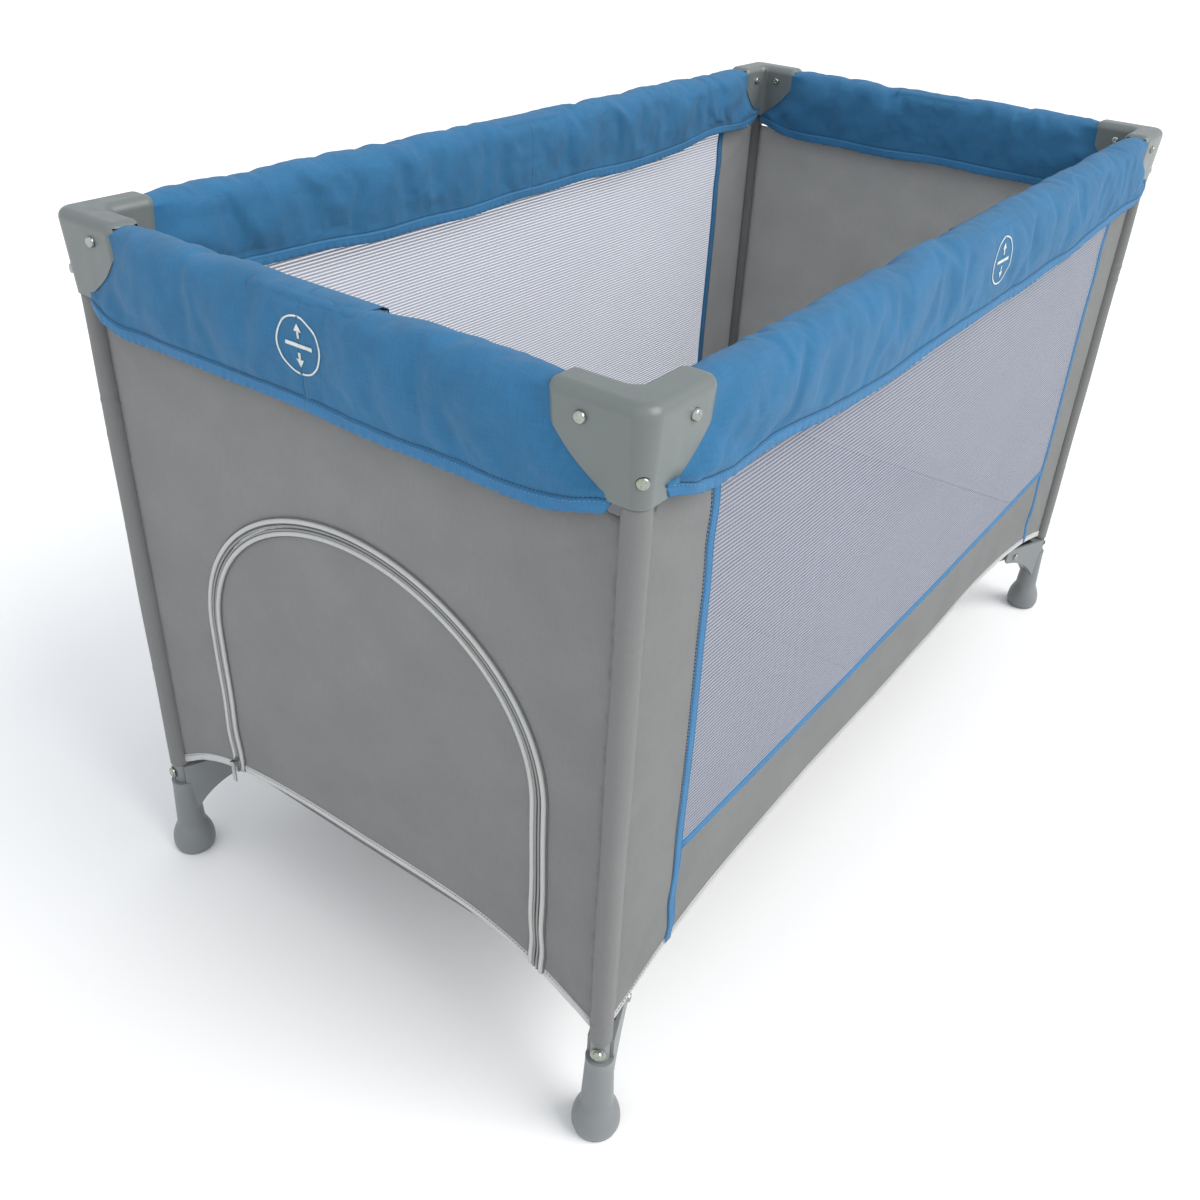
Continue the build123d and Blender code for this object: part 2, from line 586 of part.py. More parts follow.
def wall_face(half_run, near_z, middle_z):
    """Outline of a wall: an arched hem, upright ends beside the legs, corners cut for the caps."""
    end = half_run - WALL_TO_LEG
    near = half_run - HEM_NEAR
    shoulder = half_run - WALL_NOTCH
    with BuildLine() as outline:
        Spline(
            (-end, HEM_CORNER_Z),
            (-near, near_z),
            (0, middle_z),
            (near, near_z),
            (end, HEM_CORNER_Z),
        )
        Polyline(
            (end, HEM_CORNER_Z),
            (end, WALL_NOTCH_Z),
            (shoulder, WALL_NOTCH_Z),
            (shoulder, WALL_TOP_Z),
            (-shoulder, WALL_TOP_Z),
            (-shoulder, WALL_NOTCH_Z),
            (-end, WALL_NOTCH_Z),
            (-end, HEM_CORNER_Z),
        )
    make_face(outline.edges())


def door_face(margin, mode):
    """Arched doorway grown by a margin, running down past the hem."""
    half = DOOR_HALF + margin
    with Locations((DOOR_CENTRE, DOOR_SPRING_Z / 2)):
        Rectangle(2 * half, DOOR_SPRING_Z, mode=mode)
    with Locations((DOOR_CENTRE, DOOR_SPRING_Z)):
        Ellipse(half, DOOR_RISE + margin, mode=mode)


# Long walls: a panel with a tall window cut down from the top
for side_name, side_y in (("front", -1), ("back", 1)):
    wall_plane = Plane(origin=(0, side_y * LEG_Y, 0), x_dir=(1, 0, 0), z_dir=(0, -1, 0))
    with BuildPart() as long_wall:
        with BuildSketch(wall_plane):
            wall_face(LEG_X, LONG_HEM_NEAR_Z, LONG_HEM_MID_Z)
            with Locations((0, (WINDOW_SILL_Z + WALL_TOP_Z) / 2 + 5)):
                Rectangle(2 * WINDOW_HALF, WALL_TOP_Z - WINDOW_SILL_Z + 10, mode=Mode.SUBTRACT)
        extrude(amount=WALL_HALF, both=True)
    save(long_wall.part, f"wall_{side_name}")
    with BuildPart() as mesh:
        with BuildSketch(wall_plane.offset(side_y * MESH_NEAR)):
            with Locations((0, (WINDOW_SILL_Z - MESH_LAP + MESH_TOP_Z) / 2)):
                Rectangle(2 * (WINDOW_HALF + MESH_LAP), MESH_TOP_Z - WINDOW_SILL_Z + MESH_LAP)
        extrude(amount=side_y * (MESH_FAR - MESH_NEAR))
    save(mesh.part, f"mesh_{side_name}")

LEFT_WALL = Plane(origin=(-LEG_X, 0, 0), x_dir=(0, 1, 0), z_dir=(1, 0, 0))
RIGHT_WALL = Plane(origin=(LEG_X, 0, 0), x_dir=(0, 1, 0), z_dir=(1, 0, 0))

# Left end wall: the doorway is cut through it down to the hem
with BuildPart() as wall_left:
    with BuildSketch(LEFT_WALL):
        wall_face(LEG_Y, SHORT_HEM_NEAR_Z, SHORT_HEM_MID_Z)
        door_face(0, Mode.SUBTRACT)
    extrude(amount=WALL_HALF, both=True)
save(wall_left.part, "wall_left")

with BuildPart() as wall_right:
    with BuildSketch(RIGHT_WALL):
        wall_face(LEG_Y, SHORT_HEM_NEAR_Z, SHORT_HEM_MID_Z)
    extrude(amount=WALL_HALF, both=True)
save(wall_right.part, "wall_right")

# Door: fills the doorway, follows the hem below, and hangs from the hem seam
with BuildPart() as door_flap:
    with BuildSketch(LEFT_WALL):
        door_face(-DOOR_GAP, Mode.ADD)
    extrude(amount=WALL_HALF, both=True)
    with BuildSketch(LEFT_WALL):
        wall_face(LEG_Y, SHORT_HEM_NEAR_Z, SHORT_HEM_MID_Z)
    extrude(amount=WALL_HALF, both=True, mode=Mode.INTERSECT)
save(door_flap.part, "door_flap")

# Zip tape sewn round the doorway on the outer side of the wall
with BuildPart() as zip_track:
    with BuildSketch(LEFT_WALL.offset(-TRACK_FACE)):
        door_face(TRACK_FAR, Mode.ADD)
        door_face(TRACK_NEAR, Mode.SUBTRACT)
    extrude(amount=-TRACK_THICK)
    with BuildSketch(LEFT_WALL):
        wall_face(LEG_Y, SHORT_HEM_NEAR_Z, SHORT_HEM_MID_Z)
    extrude(amount=-10, mode=Mode.INTERSECT)
save(zip_track.part, "zip_track")

# Zip slider at the foot of the doorway's back leg, with a cross bar that carries the pull
SLIDER_Y = DOOR_CENTRE + DOOR_HALF
SLIDER_Z = 190.0
SLIDER_FACE_X = -LEG_X - TRACK_FACE - TRACK_THICK - 0.4
PULL_BAR_X = SLIDER_FACE_X - 5.6
with BuildPart() as zip_slider:
    with BuildSketch(Plane(origin=(SLIDER_FACE_X, SLIDER_Y, SLIDER_Z), x_dir=(0, 1, 0), z_dir=(-1, 0, 0))):
        RectangleRounded(10, 15, 3)
    extrude(amount=3)
    with BuildSketch(Plane(origin=(0, SLIDER_Y, SLIDER_Z), x_dir=(1, 0, 0), z_dir=(0, -1, 0))):
        with Locations((SLIDER_FACE_X - 4.6, 4)):
            Rectangle(5, 3.6)
    extrude(amount=4.6, both=True)
    with BuildSketch(Plane(origin=(0, SLIDER_Y, SLIDER_Z), x_dir=(1, 0, 0), z_dir=(0, -1, 0))):
        with Locations((SLIDER_FACE_X - 5.4, 4)):
            Rectangle(5, 5)
    extrude(amount=3.1, both=True, mode=Mode.SUBTRACT)
    with BuildSketch(Plane(origin=(0, SLIDER_Y, SLIDER_Z), x_dir=(1, 0, 0), z_dir=(0, -1, 0))):
        with Locations((PULL_BAR_X, 4)):
            Circle(0.9)
    extrude(amount=3.6, both=True)
save(zip_slider.part, "zip_slider")

# Zip pull: a thin tab with an eye round the slider's cross bar
with BuildPart() as zip_pull:
    with BuildSketch(Plane(origin=(0, SLIDER_Y, SLIDER_Z), x_dir=(1, 0, 0), z_dir=(0, -1, 0))):
        with Locations((PULL_BAR_X, 4)):
            Circle(1.9)
        with Locations((PULL_BAR_X - 0.9, -8)):
            Rectangle(1.4, 22)
        with Locations((PULL_BAR_X, 4)):
            Circle(1.0, mode=Mode.SUBTRACT)
    extrude(amount=2.6, both=True)
save(zip_pull.part, "zip_pull")

# ---------------------------------------------------------------- floor cloth and mattress

with BuildPart() as floor_panel:
    with BuildSketch(Plane.XY.offset(FLOOR_Z)):
        Rectangle(2 * FLOOR_HALF_X, 2 * FLOOR_HALF_Y)
        with GridLocations(2 * FLOOR_HALF_X, 2 * FLOOR_HALF_Y, 2, 2):
            Rectangle(2 * FLOOR_NOTCH, 2 * FLOOR_NOTCH, mode=Mode.SUBTRACT)
        SlotOverall(STRAP_WIDTH + 30, STRAP_DEPTH + 8, mode=Mode.SUBTRACT)
    extrude(amount=FLOOR_THICK)
save(floor_panel.part, "floor_panel")

with BuildPart() as mattress:
    with BuildSketch(Plane.XY.offset(MAT_Z)):
        RectangleRounded(2 * MAT_HALF_X, 2 * MAT_HALF_Y, 22)
        SlotOverall(STRAP_WIDTH + 34, STRAP_DEPTH + 12, mode=Mode.SUBTRACT)
    extrude(amount=MAT_THICK)
    fillet(mattress.faces().sort_by(Axis.Z)[-1].outer_wire().edges(), radius=7)
    fillet(mattress.faces().sort_by(Axis.Z)[0].outer_wire().edges(), radius=5)
save(mattress.part, "mattress")
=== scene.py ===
"""Looks of the folding travel cot: cloth, mesh, padding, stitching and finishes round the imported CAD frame."""
import json
import math

import bpy
import numpy as np
from mathutils import Matrix, Vector, geometry
from mathutils.bvhtree import BVHTree

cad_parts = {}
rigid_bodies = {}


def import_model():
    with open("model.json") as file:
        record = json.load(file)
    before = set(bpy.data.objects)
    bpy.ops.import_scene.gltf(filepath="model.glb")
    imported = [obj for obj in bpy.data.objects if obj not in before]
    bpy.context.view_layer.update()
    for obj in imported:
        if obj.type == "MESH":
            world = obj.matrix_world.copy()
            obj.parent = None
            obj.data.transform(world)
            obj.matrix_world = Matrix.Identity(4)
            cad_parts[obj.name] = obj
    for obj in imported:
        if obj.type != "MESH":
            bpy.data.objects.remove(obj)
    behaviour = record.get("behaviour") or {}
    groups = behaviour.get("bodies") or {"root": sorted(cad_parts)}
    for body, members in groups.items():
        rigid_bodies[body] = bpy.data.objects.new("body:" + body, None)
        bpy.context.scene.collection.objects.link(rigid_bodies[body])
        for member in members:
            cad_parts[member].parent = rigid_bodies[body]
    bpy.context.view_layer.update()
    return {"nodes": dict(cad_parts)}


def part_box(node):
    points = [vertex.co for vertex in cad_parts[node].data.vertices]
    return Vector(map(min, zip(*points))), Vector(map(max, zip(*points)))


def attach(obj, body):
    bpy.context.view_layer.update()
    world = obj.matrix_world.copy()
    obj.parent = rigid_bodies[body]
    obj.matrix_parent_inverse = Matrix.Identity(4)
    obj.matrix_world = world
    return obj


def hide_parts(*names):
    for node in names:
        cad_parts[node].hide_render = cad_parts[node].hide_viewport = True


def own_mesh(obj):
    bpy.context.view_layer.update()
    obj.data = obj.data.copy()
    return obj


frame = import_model()
scene = bpy.context.scene
scene.view_settings.view_transform = "Standard"

# ---------------------------------------------------------------- places read from the CAD frame

leg_low, leg_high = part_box("leg_tube_fr")
LEG_X = (leg_low.x + leg_high.x) / 2
LEG_Y = -(leg_low.y + leg_high.y) / 2
LEG_R = (leg_high.x - leg_low.x) / 2
cover_low, cover_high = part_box("cover_front_right")
COVER_TOP = cover_high.z
COVER_HEM = cover_low.z
COVER_HALF = (cover_high.y - cover_low.y) / 2
CAP_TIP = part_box("corner_cap_fr")[0].z
FLOOR_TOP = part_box("floor_panel")[1].z
MAT_LOW, MAT_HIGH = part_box("mattress")
STRAP_LOW, STRAP_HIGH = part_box("pull_strap")
WALL_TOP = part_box("wall_front")[1].z
WINDOW_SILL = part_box("mesh_front")[0].z + 0.008
WINDOW_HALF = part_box("mesh_front")[1].x - 0.008
door_low, door_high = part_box("door_flap")
DOOR_CENTRE = (door_low.y + door_high.y) / 2
DOOR_GAP = 0.0015
DOOR_HALF = (door_high.y - door_low.y) / 2 + DOOR_GAP
DOOR_SPRING = 0.370
DOOR_RISE = door_high.z + DOOR_GAP - DOOR_SPRING
SLEEVE_R = LEG_R + 0.0014
LONG_RUN = 0.4  # a side with a longer run than this is a long one
NOTCH_Z = 0.668  # the walls are narrower above this, to clear the caps
SHOULDER = 0.024
SLEEVE_LAP = 0.0012

# A side of the cot: its outward direction, the direction its run is measured in, and the run to a leg axis
SIDES = {
    "front": (Vector((0, -1, 0)), Vector((1, 0, 0)), LEG_X, LEG_Y),
    "back": (Vector((0, 1, 0)), Vector((1, 0, 0)), LEG_X, LEG_Y),
    "left": (Vector((-1, 0, 0)), Vector((0, 1, 0)), LEG_Y, LEG_X),
    "right": (Vector((1, 0, 0)), Vector((0, 1, 0)), LEG_Y, LEG_X),
}
WALL_BODY = {"front": "leg_fl", "back": "leg_bl", "left": "leg_fl", "right": "leg_fr"}
CORNERS = {"fl": (-1, -1), "fr": (1, -1), "bl": (-1, 1), "br": (1, 1)}


def smooth(value):
    value = np.clip(value, 0, 1)
    return value * value * (3 - 2 * value)


def on_side(side, run, height, out=0.0):
    """Point at a run along a side and a height, standing off the wall plane."""
    outward, along, _, plane = SIDES[side]
    return along * run + outward * (plane + out) + Vector((0, 0, height))


def hem_curve(side):
    """Lower edge of a CAD wall as runs and heights."""
    _, along, _, _ = SIDES[side]
    rows = {}
    names = [f"wall_{side}"] + (["door_flap"] if side == "left" else [])
    for name in names:
        for vertex in frame["nodes"][name].data.vertices:
            run = round(vertex.co.dot(along), 5)
            if vertex.co.z < 0.215:
                rows[run] = min(rows.get(run, 1), vertex.co.z)
    runs = sorted(rows)
    return np.array(runs), np.array([rows[run] for run in runs])


HEMS = {side: hem_curve(side) for side in SIDES}


def hem_height(side, run):
    return np.interp(run, *HEMS[side])


def billow(side, run, height):
    """How far the cloth of a wall stands out of its plane: a slow crown, tension creases and a few ripples."""
    half = SIDES[side][2]
    long_side = half > LONG_RUN
    share = np.clip(np.abs(run) / (half - 0.012), 0, 1)
    low = hem_height(side, run)
    rise = np.clip((height - low) / (0.69 - low), 0, 1)
    crown = (0.0042 if long_side else 0.0034) * (1 - share**2) * np.sin(np.pi * np.clip(rise, 0, 1) ** 0.8)
    edge = smooth((1 - share) * half / 0.03) * smooth((0.69 - height) / 0.04)
    total = crown
    for end in (-1, 1):
        dx, dz = half - end * run, height - 0.13
        away = np.hypot(dx, dz)
        turn = np.arctan2(dz, np.maximum(dx, 1e-4))
        total = total + 0.0011 * np.sin(turn * 15 + end * 1.3 + away * 9) * np.exp(-((away - 0.09) / 0.11) ** 2)
        dz = 0.66 - height
        away = np.hypot(dx, dz)
        turn = np.arctan2(dz, np.maximum(dx, 1e-4))
        total = total + 0.0007 * np.sin(turn * 11 + end * 0.7) * np.exp(-((away - 0.09) / 0.08) ** 2)
    total = total + 0.0005 * np.sin(run * 21 + 1.1 + height * 5) * np.sin(height * 17 + run * 6)
    return total * edge


# ---------------------------------------------------------------- materials

def linear(red, green, blue):
    """Linear colour from 0-255 display values."""
    return tuple(((c / 255 + 0.055) / 1.055) ** 2.4 if c > 10 else c / 255 / 12.92 for c in (red, green, blue)) + (1,)


class Graph:
    """A material's node tree, built one node at a time."""

    def __init__(self, name):
        self.material = bpy.data.materials.new(name)
        self.material.use_nodes = True
        self.tree = self.material.node_tree
        self.tree.nodes.clear()

    def node(self, kind, inputs=None, **settings):
        made = self.tree.nodes.new("ShaderNode" + kind)
        for key, value in settings.items():
            setattr(made, key, value)
        for key, value in (inputs or {}).items():
            if isinstance(value, bpy.types.NodeSocket):
                self.tree.links.new(value, made.inputs[key])
            else:
                made.inputs[key].default_value = value
        return made

    def math(self, operation, *values):
        return self.node("Math", dict(enumerate(values)), operation=operation).outputs[0]

    def ramp(self, factor, stops):
        made = self.node("ValToRGB", {"Fac": factor})
        elements = made.color_ramp.elements
        while len(elements) < len(stops):
            elements.new(0.5)
        for element, (position, colour) in zip(elements, stops):
            element.position = position
            element.color = colour
        return made.outputs[0]

    def mix(self, factor, first, second):
        made = self.node("Mix", data_type="RGBA")
        for index, value in ((0, factor), (6, first), (7, second)):
            if isinstance(value, bpy.types.NodeSocket):
                self.tree.links.new(value, made.inputs[index])
            else:
                made.inputs[index].default_value = value
        return made.outputs[2]

    def noise(self, vector, scale, detail=3.0, roughness=0.5):
        made = self.node("TexNoise", {"Vector": vector, "Scale": scale, "Detail": detail, "Roughness": roughness})
        return made.outputs[0]

    def scaled(self, vector, scale):
        return self.node("Mapping", {"Vector": vector, "Scale": scale}).outputs[0]

    def bump(self, height, distance, strength=1.0, normal=None):
        inputs = {"Height": height, "Distance": distance, "Strength": strength}
        if normal is not None:
            inputs["Normal"] = normal
        return self.node("Bump", inputs).outputs[0]

    def finish(self, shader):
        output = self.node("OutputMaterial")
        self.tree.links.new(shader.outputs[0], output.inputs[0])
        return self.material


def tone(colour, factor):
    return tuple(channel * factor for channel in colour[:3]) + (1,)


def cloth(name, colour, pitch=0.0008, mottle=0.10, slub=0.10, through=0.0, roughness=0.88, sheen=0.12, uv=True,
          weave=0.5):
    """Woven cloth: crossing threads, slubs, slow mottling, and for thin cloth some light through it."""
    g = Graph(name)
    if uv:
        place = g.node("UVMap").outputs[0]
    else:
        place = g.node("TexCoord").outputs["Object"]
    slow = g.noise(place, 16, 4)
    fine = g.noise(place, 420, 3, 0.6)
    if uv:
        warp = g.noise(g.scaled(place, (900, 55, 1)), 1.0, 2)
        weft = g.noise(g.scaled(place, (55, 900, 1)), 1.0, 2)
    else:
        warp = g.noise(g.scaled(place, (900, 900, 55)), 1.0, 2)
        weft = g.noise(g.scaled(place, (55, 55, 900)), 1.0, 2)
    threads = g.math("ADD", g.math("MULTIPLY", warp, 0.5), g.math("MULTIPLY", weft, 0.5))
    shade = g.mix(g.ramp(slow, [(0.32, (0, 0, 0, 1)), (0.68, (1, 1, 1, 1))]), tone(colour, 1 - mottle),
                  tone(colour, 1 + mottle))
    darker = g.node("HueSaturation", {"Color": shade, "Value": 1 - slub})
    lighter = g.node("HueSaturation", {"Color": shade, "Value": 1 + slub})
    shade = g.mix(g.ramp(threads, [(0.36, (0, 0, 0, 1)), (0.64, (1, 1, 1, 1))]), darker.outputs[0],
                  lighter.outputs[0])
    split = g.node("SeparateXYZ", {"Vector": place})
    turns = 2 * math.pi / pitch
    across = g.math("SINE", g.math("MULTIPLY", split.outputs[0], turns))
    other = split.outputs[1] if uv else split.outputs[2]
    along = g.math("SINE", g.math("MULTIPLY", other, turns))
    relief = g.math("MULTIPLY", across, along)
    normal = g.bump(relief, pitch * 0.25, weave)
    normal = g.bump(fine, 0.0006, 0.35, normal)
    normal = g.bump(slow, 0.004, 0.12, normal)
    rough = g.ramp(slow, [(0.2, (roughness - 0.06,) * 3 + (1,)), (0.8, (roughness + 0.06,) * 3 + (1,))])
    shader = g.node("BsdfPrincipled", {"Base Color": shade, "Roughness": rough, "Normal": normal,
                                       "Sheen Weight": sheen, "Sheen Roughness": 0.4, "Specular IOR Level": 0.3})
    if through:
        glow = g.node("BsdfTranslucent", {"Color": shade, "Normal": normal})
        shader = g.node("MixShader", {0: through, 1: shader.outputs[0], 2: glow.outputs[0]})
    return g.finish(shader)


def plastic(name, colour, roughness=0.36, grain=0.10, coat=0.0):
    """Moulded plastic: fine satin grain, slow tone change, paler rubbed edges and a few dull patches."""
    g = Graph(name)
    place = g.node("TexCoord").outputs["Object"]
    slow = g.noise(place, 11, 3)
    fine = g.noise(place, 1500, 2, 0.6)
    scuff = g.noise(g.scaled(place, (60, 60, 14)), 1.0, 5, 0.7)
    edge = g.ramp(g.node("NewGeometry").outputs["Pointiness"], [(0.51, (0, 0, 0, 1)), (0.62, (1, 1, 1, 1))])
    shade = g.mix(slow, tone(colour, 0.95), tone(colour, 1.05))
    shade = g.mix(g.math("MULTIPLY", edge, 0.35), shade, tone(colour, 1.25))
    rough = g.ramp(scuff, [(0.3, (roughness - 0.05,) * 3 + (1,)), (0.75, (roughness + 0.12,) * 3 + (1,))])
    normal = g.bump(fine, 0.00025, grain)
    normal = g.bump(slow, 0.0012, 0.06, normal)
    shader = g.node("BsdfPrincipled", {"Base Color": shade, "Roughness": rough, "Normal": normal,
                                       "Coat Weight": coat, "Coat Roughness": 0.25})
    return g.finish(shader)


def metal(name, colour, roughness=0.3, tint=None, metallic=1.0, brush=(40, 40, 900)):
    """Plated or painted metal with fine draw lines and a faint second tint."""
    g = Graph(name)
    place = g.node("TexCoord").outputs["Object"]
    slow = g.noise(place, 60, 3)
    lines = g.noise(g.scaled(place, brush), 1.0, 3)
    shade = g.mix(g.ramp(slow, [(0.42, (0, 0, 0, 1)), (0.6, (1, 1, 1, 1))]), colour, tint or tone(colour, 0.85))
    rough = g.ramp(lines, [(0.3, (roughness - 0.06,) * 3 + (1,)), (0.7, (roughness + 0.08,) * 3 + (1,))])
    normal = g.bump(lines, 0.0003, 0.15)
    shader = g.node("BsdfPrincipled", {"Base Color": shade, "Roughness": rough, "Normal": normal,
                                       "Metallic": metallic})
    return g.finish(shader)


def net(name, thread, shadow, column=0.0022, row=0.0038):
    """Knitted netting: rows of small rounded holes between threads, with a slow change of tone."""
    g = Graph(name)
    place = g.node("UVMap").outputs[0]
    split = g.node("SeparateXYZ", {"Vector": place})
    rows = g.math("DIVIDE", split.outputs[1], row)
    odd = g.math("MULTIPLY", g.math("MODULO", g.math("FLOOR", rows), 2.0), 0.5)
    columns = g.math("ADD", g.math("DIVIDE", split.outputs[0], column), odd)
    x = g.math("MULTIPLY", g.math("SUBTRACT", g.math("FRACT", columns), 0.5), 2.0)
    y = g.math("MULTIPLY", g.math("SUBTRACT", g.math("FRACT", rows), 0.5), 2.0)
    square_x = g.math("POWER", g.math("ABSOLUTE", g.math("DIVIDE", x, 0.80)), 2.2)
    square_y = g.math("POWER", g.math("ABSOLUTE", g.math("DIVIDE", y, 0.52)), 2.2)
    reach = g.math("ADD", square_x, square_y)
    open_share = g.ramp(reach, [(0.85, (1, 1, 1, 1)), (1.1, (0, 0, 0, 1))])
    slow = g.noise(place, 9, 3)
    fine = g.noise(place, 700, 2)
    shade = g.mix(slow, tone(thread, 0.95), tone(thread, 1.05))
    shade = g.mix(g.ramp(reach, [(0.9, (1, 1, 1, 1)), (2.2, (0, 0, 0, 1))]), shade, shadow)
    normal = g.bump(g.math("MINIMUM", reach, 3.0), 0.0003, 0.6)
    normal = g.bump(fine, 0.0003, 0.3, normal)
    body = g.node("BsdfPrincipled", {"Base Color": shade, "Roughness": 0.7, "Normal": normal,
                                     "Sheen Weight": 0.15})
    glow = g.node("BsdfTranslucent", {"Color": shade})
    solid = g.node("MixShader", {0: 0.35, 1: body.outputs[0], 2: glow.outputs[0]})
    clear = g.node("BsdfTransparent")
    share = g.math("MULTIPLY", open_share, 0.72)
    return g.finish(g.node("MixShader", {0: share, 1: solid.outputs[0], 2: clear.outputs[0]}))


BLUE = (0.026, 0.130, 0.262, 1)
BLUE_TAPE = (0.030, 0.150, 0.310, 1)
GREY = (0.440, 0.443, 0.440, 1)
M_BLUE = cloth("blue_canvas", BLUE, 0.0009, 0.07, 0.09, roughness=0.86, sheen=0.10)
M_TAPE = cloth("blue_tape", BLUE_TAPE, 0.0007, 0.05, 0.06, uv=False, roughness=0.78, sheen=0.10)
M_THREAD = cloth("blue_thread", (0.10, 0.24, 0.40, 1), 0.0004, 0.04, 0.05, uv=False, roughness=0.6)
M_DARK_THREAD = cloth("navy_thread", (0.012, 0.025, 0.05, 1), 0.0004, 0.04, 0.05, uv=False, roughness=0.6)
M_GREY_THREAD = cloth("grey_thread", (0.13, 0.13, 0.125, 1), 0.0004, 0.04, 0.05, uv=False, roughness=0.6)
M_GREY = cloth("grey_cloth", GREY, 0.0006, 0.035, 0.035, through=0.66, roughness=0.82, sheen=0.06, weave=0.3)
M_GREY_BAND = cloth("grey_band", tone(GREY, 0.98), 0.0006, 0.035, 0.035, uv=False, roughness=0.8, weave=0.3)
M_SLEEVE = cloth("grey_sleeve", tone(GREY, 0.36), 0.0006, 0.03, 0.03, roughness=0.62, sheen=0.05, weave=0.3)
M_NET = net("white_net", (0.37, 0.39, 0.47, 1), (0.17, 0.18, 0.235, 1))
M_CAP = plastic("cap_plastic", (0.122, 0.140, 0.136, 1), 0.34)
M_FOOT = plastic("foot_plastic", (0.162, 0.174, 0.178, 1), 0.40)
M_LOCK = plastic("lock_plastic", (0.150, 0.160, 0.160, 1), 0.42)
M_BUTTON = plastic("button_plastic", (0.040, 0.140, 0.270, 1), 0.40)
M_HUB = plastic("hub_plastic", (0.120, 0.125, 0.128, 1), 0.45)
M_TUBE = metal("painted_steel", (0.190, 0.200, 0.206, 1), 0.38, metallic=0.25)
M_SCREW = metal("zinc", (0.36, 0.38, 0.36, 1), 0.24, tint=(0.30, 0.32, 0.24, 1), brush=(700, 700, 700))
M_ZIP = metal("zip_metal", (0.42, 0.43, 0.43, 1), 0.32, brush=(500, 500, 500))
M_MAT = cloth("mattress_cloth", (0.230, 0.236, 0.240, 1), 0.0009, 0.05, 0.05, roughness=0.85, sheen=0.15)
M_PIPE = cloth("mattress_piping", BLUE_TAPE, 0.0007, 0.04, 0.04, uv=False, roughness=0.8)
M_WEB = cloth("webbing", (0.035, 0.125, 0.245, 1), 0.0016, 0.04, 0.08, uv=False, roughness=0.75, weave=1.0)
M_TAPE_ZIP = cloth("zip_tape", (0.150, 0.156, 0.150, 1), 0.0006, 0.03, 0.05, uv=False, roughness=0.7)
M_COIL = plastic("zip_coil", (0.205, 0.210, 0.198, 1), 0.42)
M_PRINT = cloth("print_ink", (0.62, 0.66, 0.64, 1), 0.0009, 0.04, 0.08, uv=False, roughness=0.55, sheen=0.0)


# ---------------------------------------------------------------- mesh helpers

def piece(name, points, faces, material, body, uv=None, flat_shading=False):
    """A mesh piece on a CAD body, with smooth faces and, if given, a UV in metres for every vertex."""
    mesh = bpy.data.meshes.new(name)
    mesh.from_pydata([tuple(p) for p in points], [], [tuple(int(i) for i in f) for f in faces])
    mesh.validate()
    mesh.update()
    if uv is not None:
        layer = mesh.uv_layers.new(name="UVMap")
        loops = np.zeros(len(mesh.loops), int)
        mesh.loops.foreach_get("vertex_index", loops)
        layer.data.foreach_set("uv", np.asarray(uv, float)[loops].ravel())
    mesh.materials.append(material)
    mesh.polygons.foreach_set("use_smooth", [not flat_shading] * len(mesh.polygons))
    made = bpy.data.objects.new(name, mesh)
    scene.collection.objects.link(made)
    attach(made, body)
    return made


def coordinates(target):
    flat = np.zeros(len(target.data.vertices) * 3)
    target.data.vertices.foreach_get("co", flat)
    return flat.reshape(-1, 3)


def apply_modifiers(target):
    """Bake an object's modifiers into its mesh."""
    bpy.context.view_layer.update()
    graph = bpy.context.evaluated_depsgraph_get()
    baked = bpy.data.meshes.new_from_object(target.evaluated_get(graph), depsgraph=graph)
    old = target.data
    target.modifiers.clear()
    target.data = baked
    bpy.data.meshes.remove(old)


def inside(points, polygon):
    """Even-odd test of many points against one closed polygon."""
    x, y = points[:, 0], points[:, 1]
    found = np.zeros(len(points), bool)
    ax, ay = polygon[-1]
    for bx, by in polygon:
        if ay != by:
            crosses = ((ay > y) != (by > y)) & (x < (bx - ax) * (y - ay) / (by - ay) + ax)
            found ^= crosses
        ax, ay = bx, by
    return found


def resample(points, step):
    """The same closed outline with points about one step apart and its corners kept."""
    points = [np.array(p, float) for p in points]
    out = []
    for a, b in zip(points, points[1:] + points[:1]):
        count = max(1, int(round(np.linalg.norm(b - a) / step)))
        out += [a + (b - a) * i / count for i in range(count)]
    return out


def filled(outline, step):
    """Triangles over a flat outline, with an even spread of inner points."""
    border = np.array(resample(outline, step))
    edges = [(i, (i + 1) % len(border)) for i in range(len(border))]
    low, high = border.min(0), border.max(0)
    rows = np.arange(low[1], high[1], step * 0.87)
    grid = np.array([(x + (0.5 * step if i % 2 else 0), y) for i, y in enumerate(rows)
                     for x in np.arange(low[0], high[0], step)])
    grid = grid[inside(grid, border)]
    near = np.full(len(grid), 1e9)
    for chunk in np.array_split(border, max(1, len(border) // 100)):
        near = np.minimum(near, np.sqrt(((grid[:, None] - chunk[None]) ** 2).sum(2)).min(1))
    points = np.vstack([border, grid[near > step * 0.55]])
    found = geometry.delaunay_2d_cdt([Vector(p) for p in points], edges, [], 0, 1e-6)
    flat = np.array([tuple(v) for v in found[0]])
    faces = np.array([f for f in found[2] if len(f) == 3])
    return flat, faces[inside(flat[faces].mean(1), border)]


def oriented(faces, points, outward):
    """Faces turned so that they look along the outward direction."""
    a, b, c = (np.array(points)[faces[:, i]] for i in range(3))
    wrong = (np.cross(b - a, c - a) @ np.array(outward)) < 0
    faces = faces.copy()
    faces[wrong] = faces[wrong][:, ::-1]
    return faces


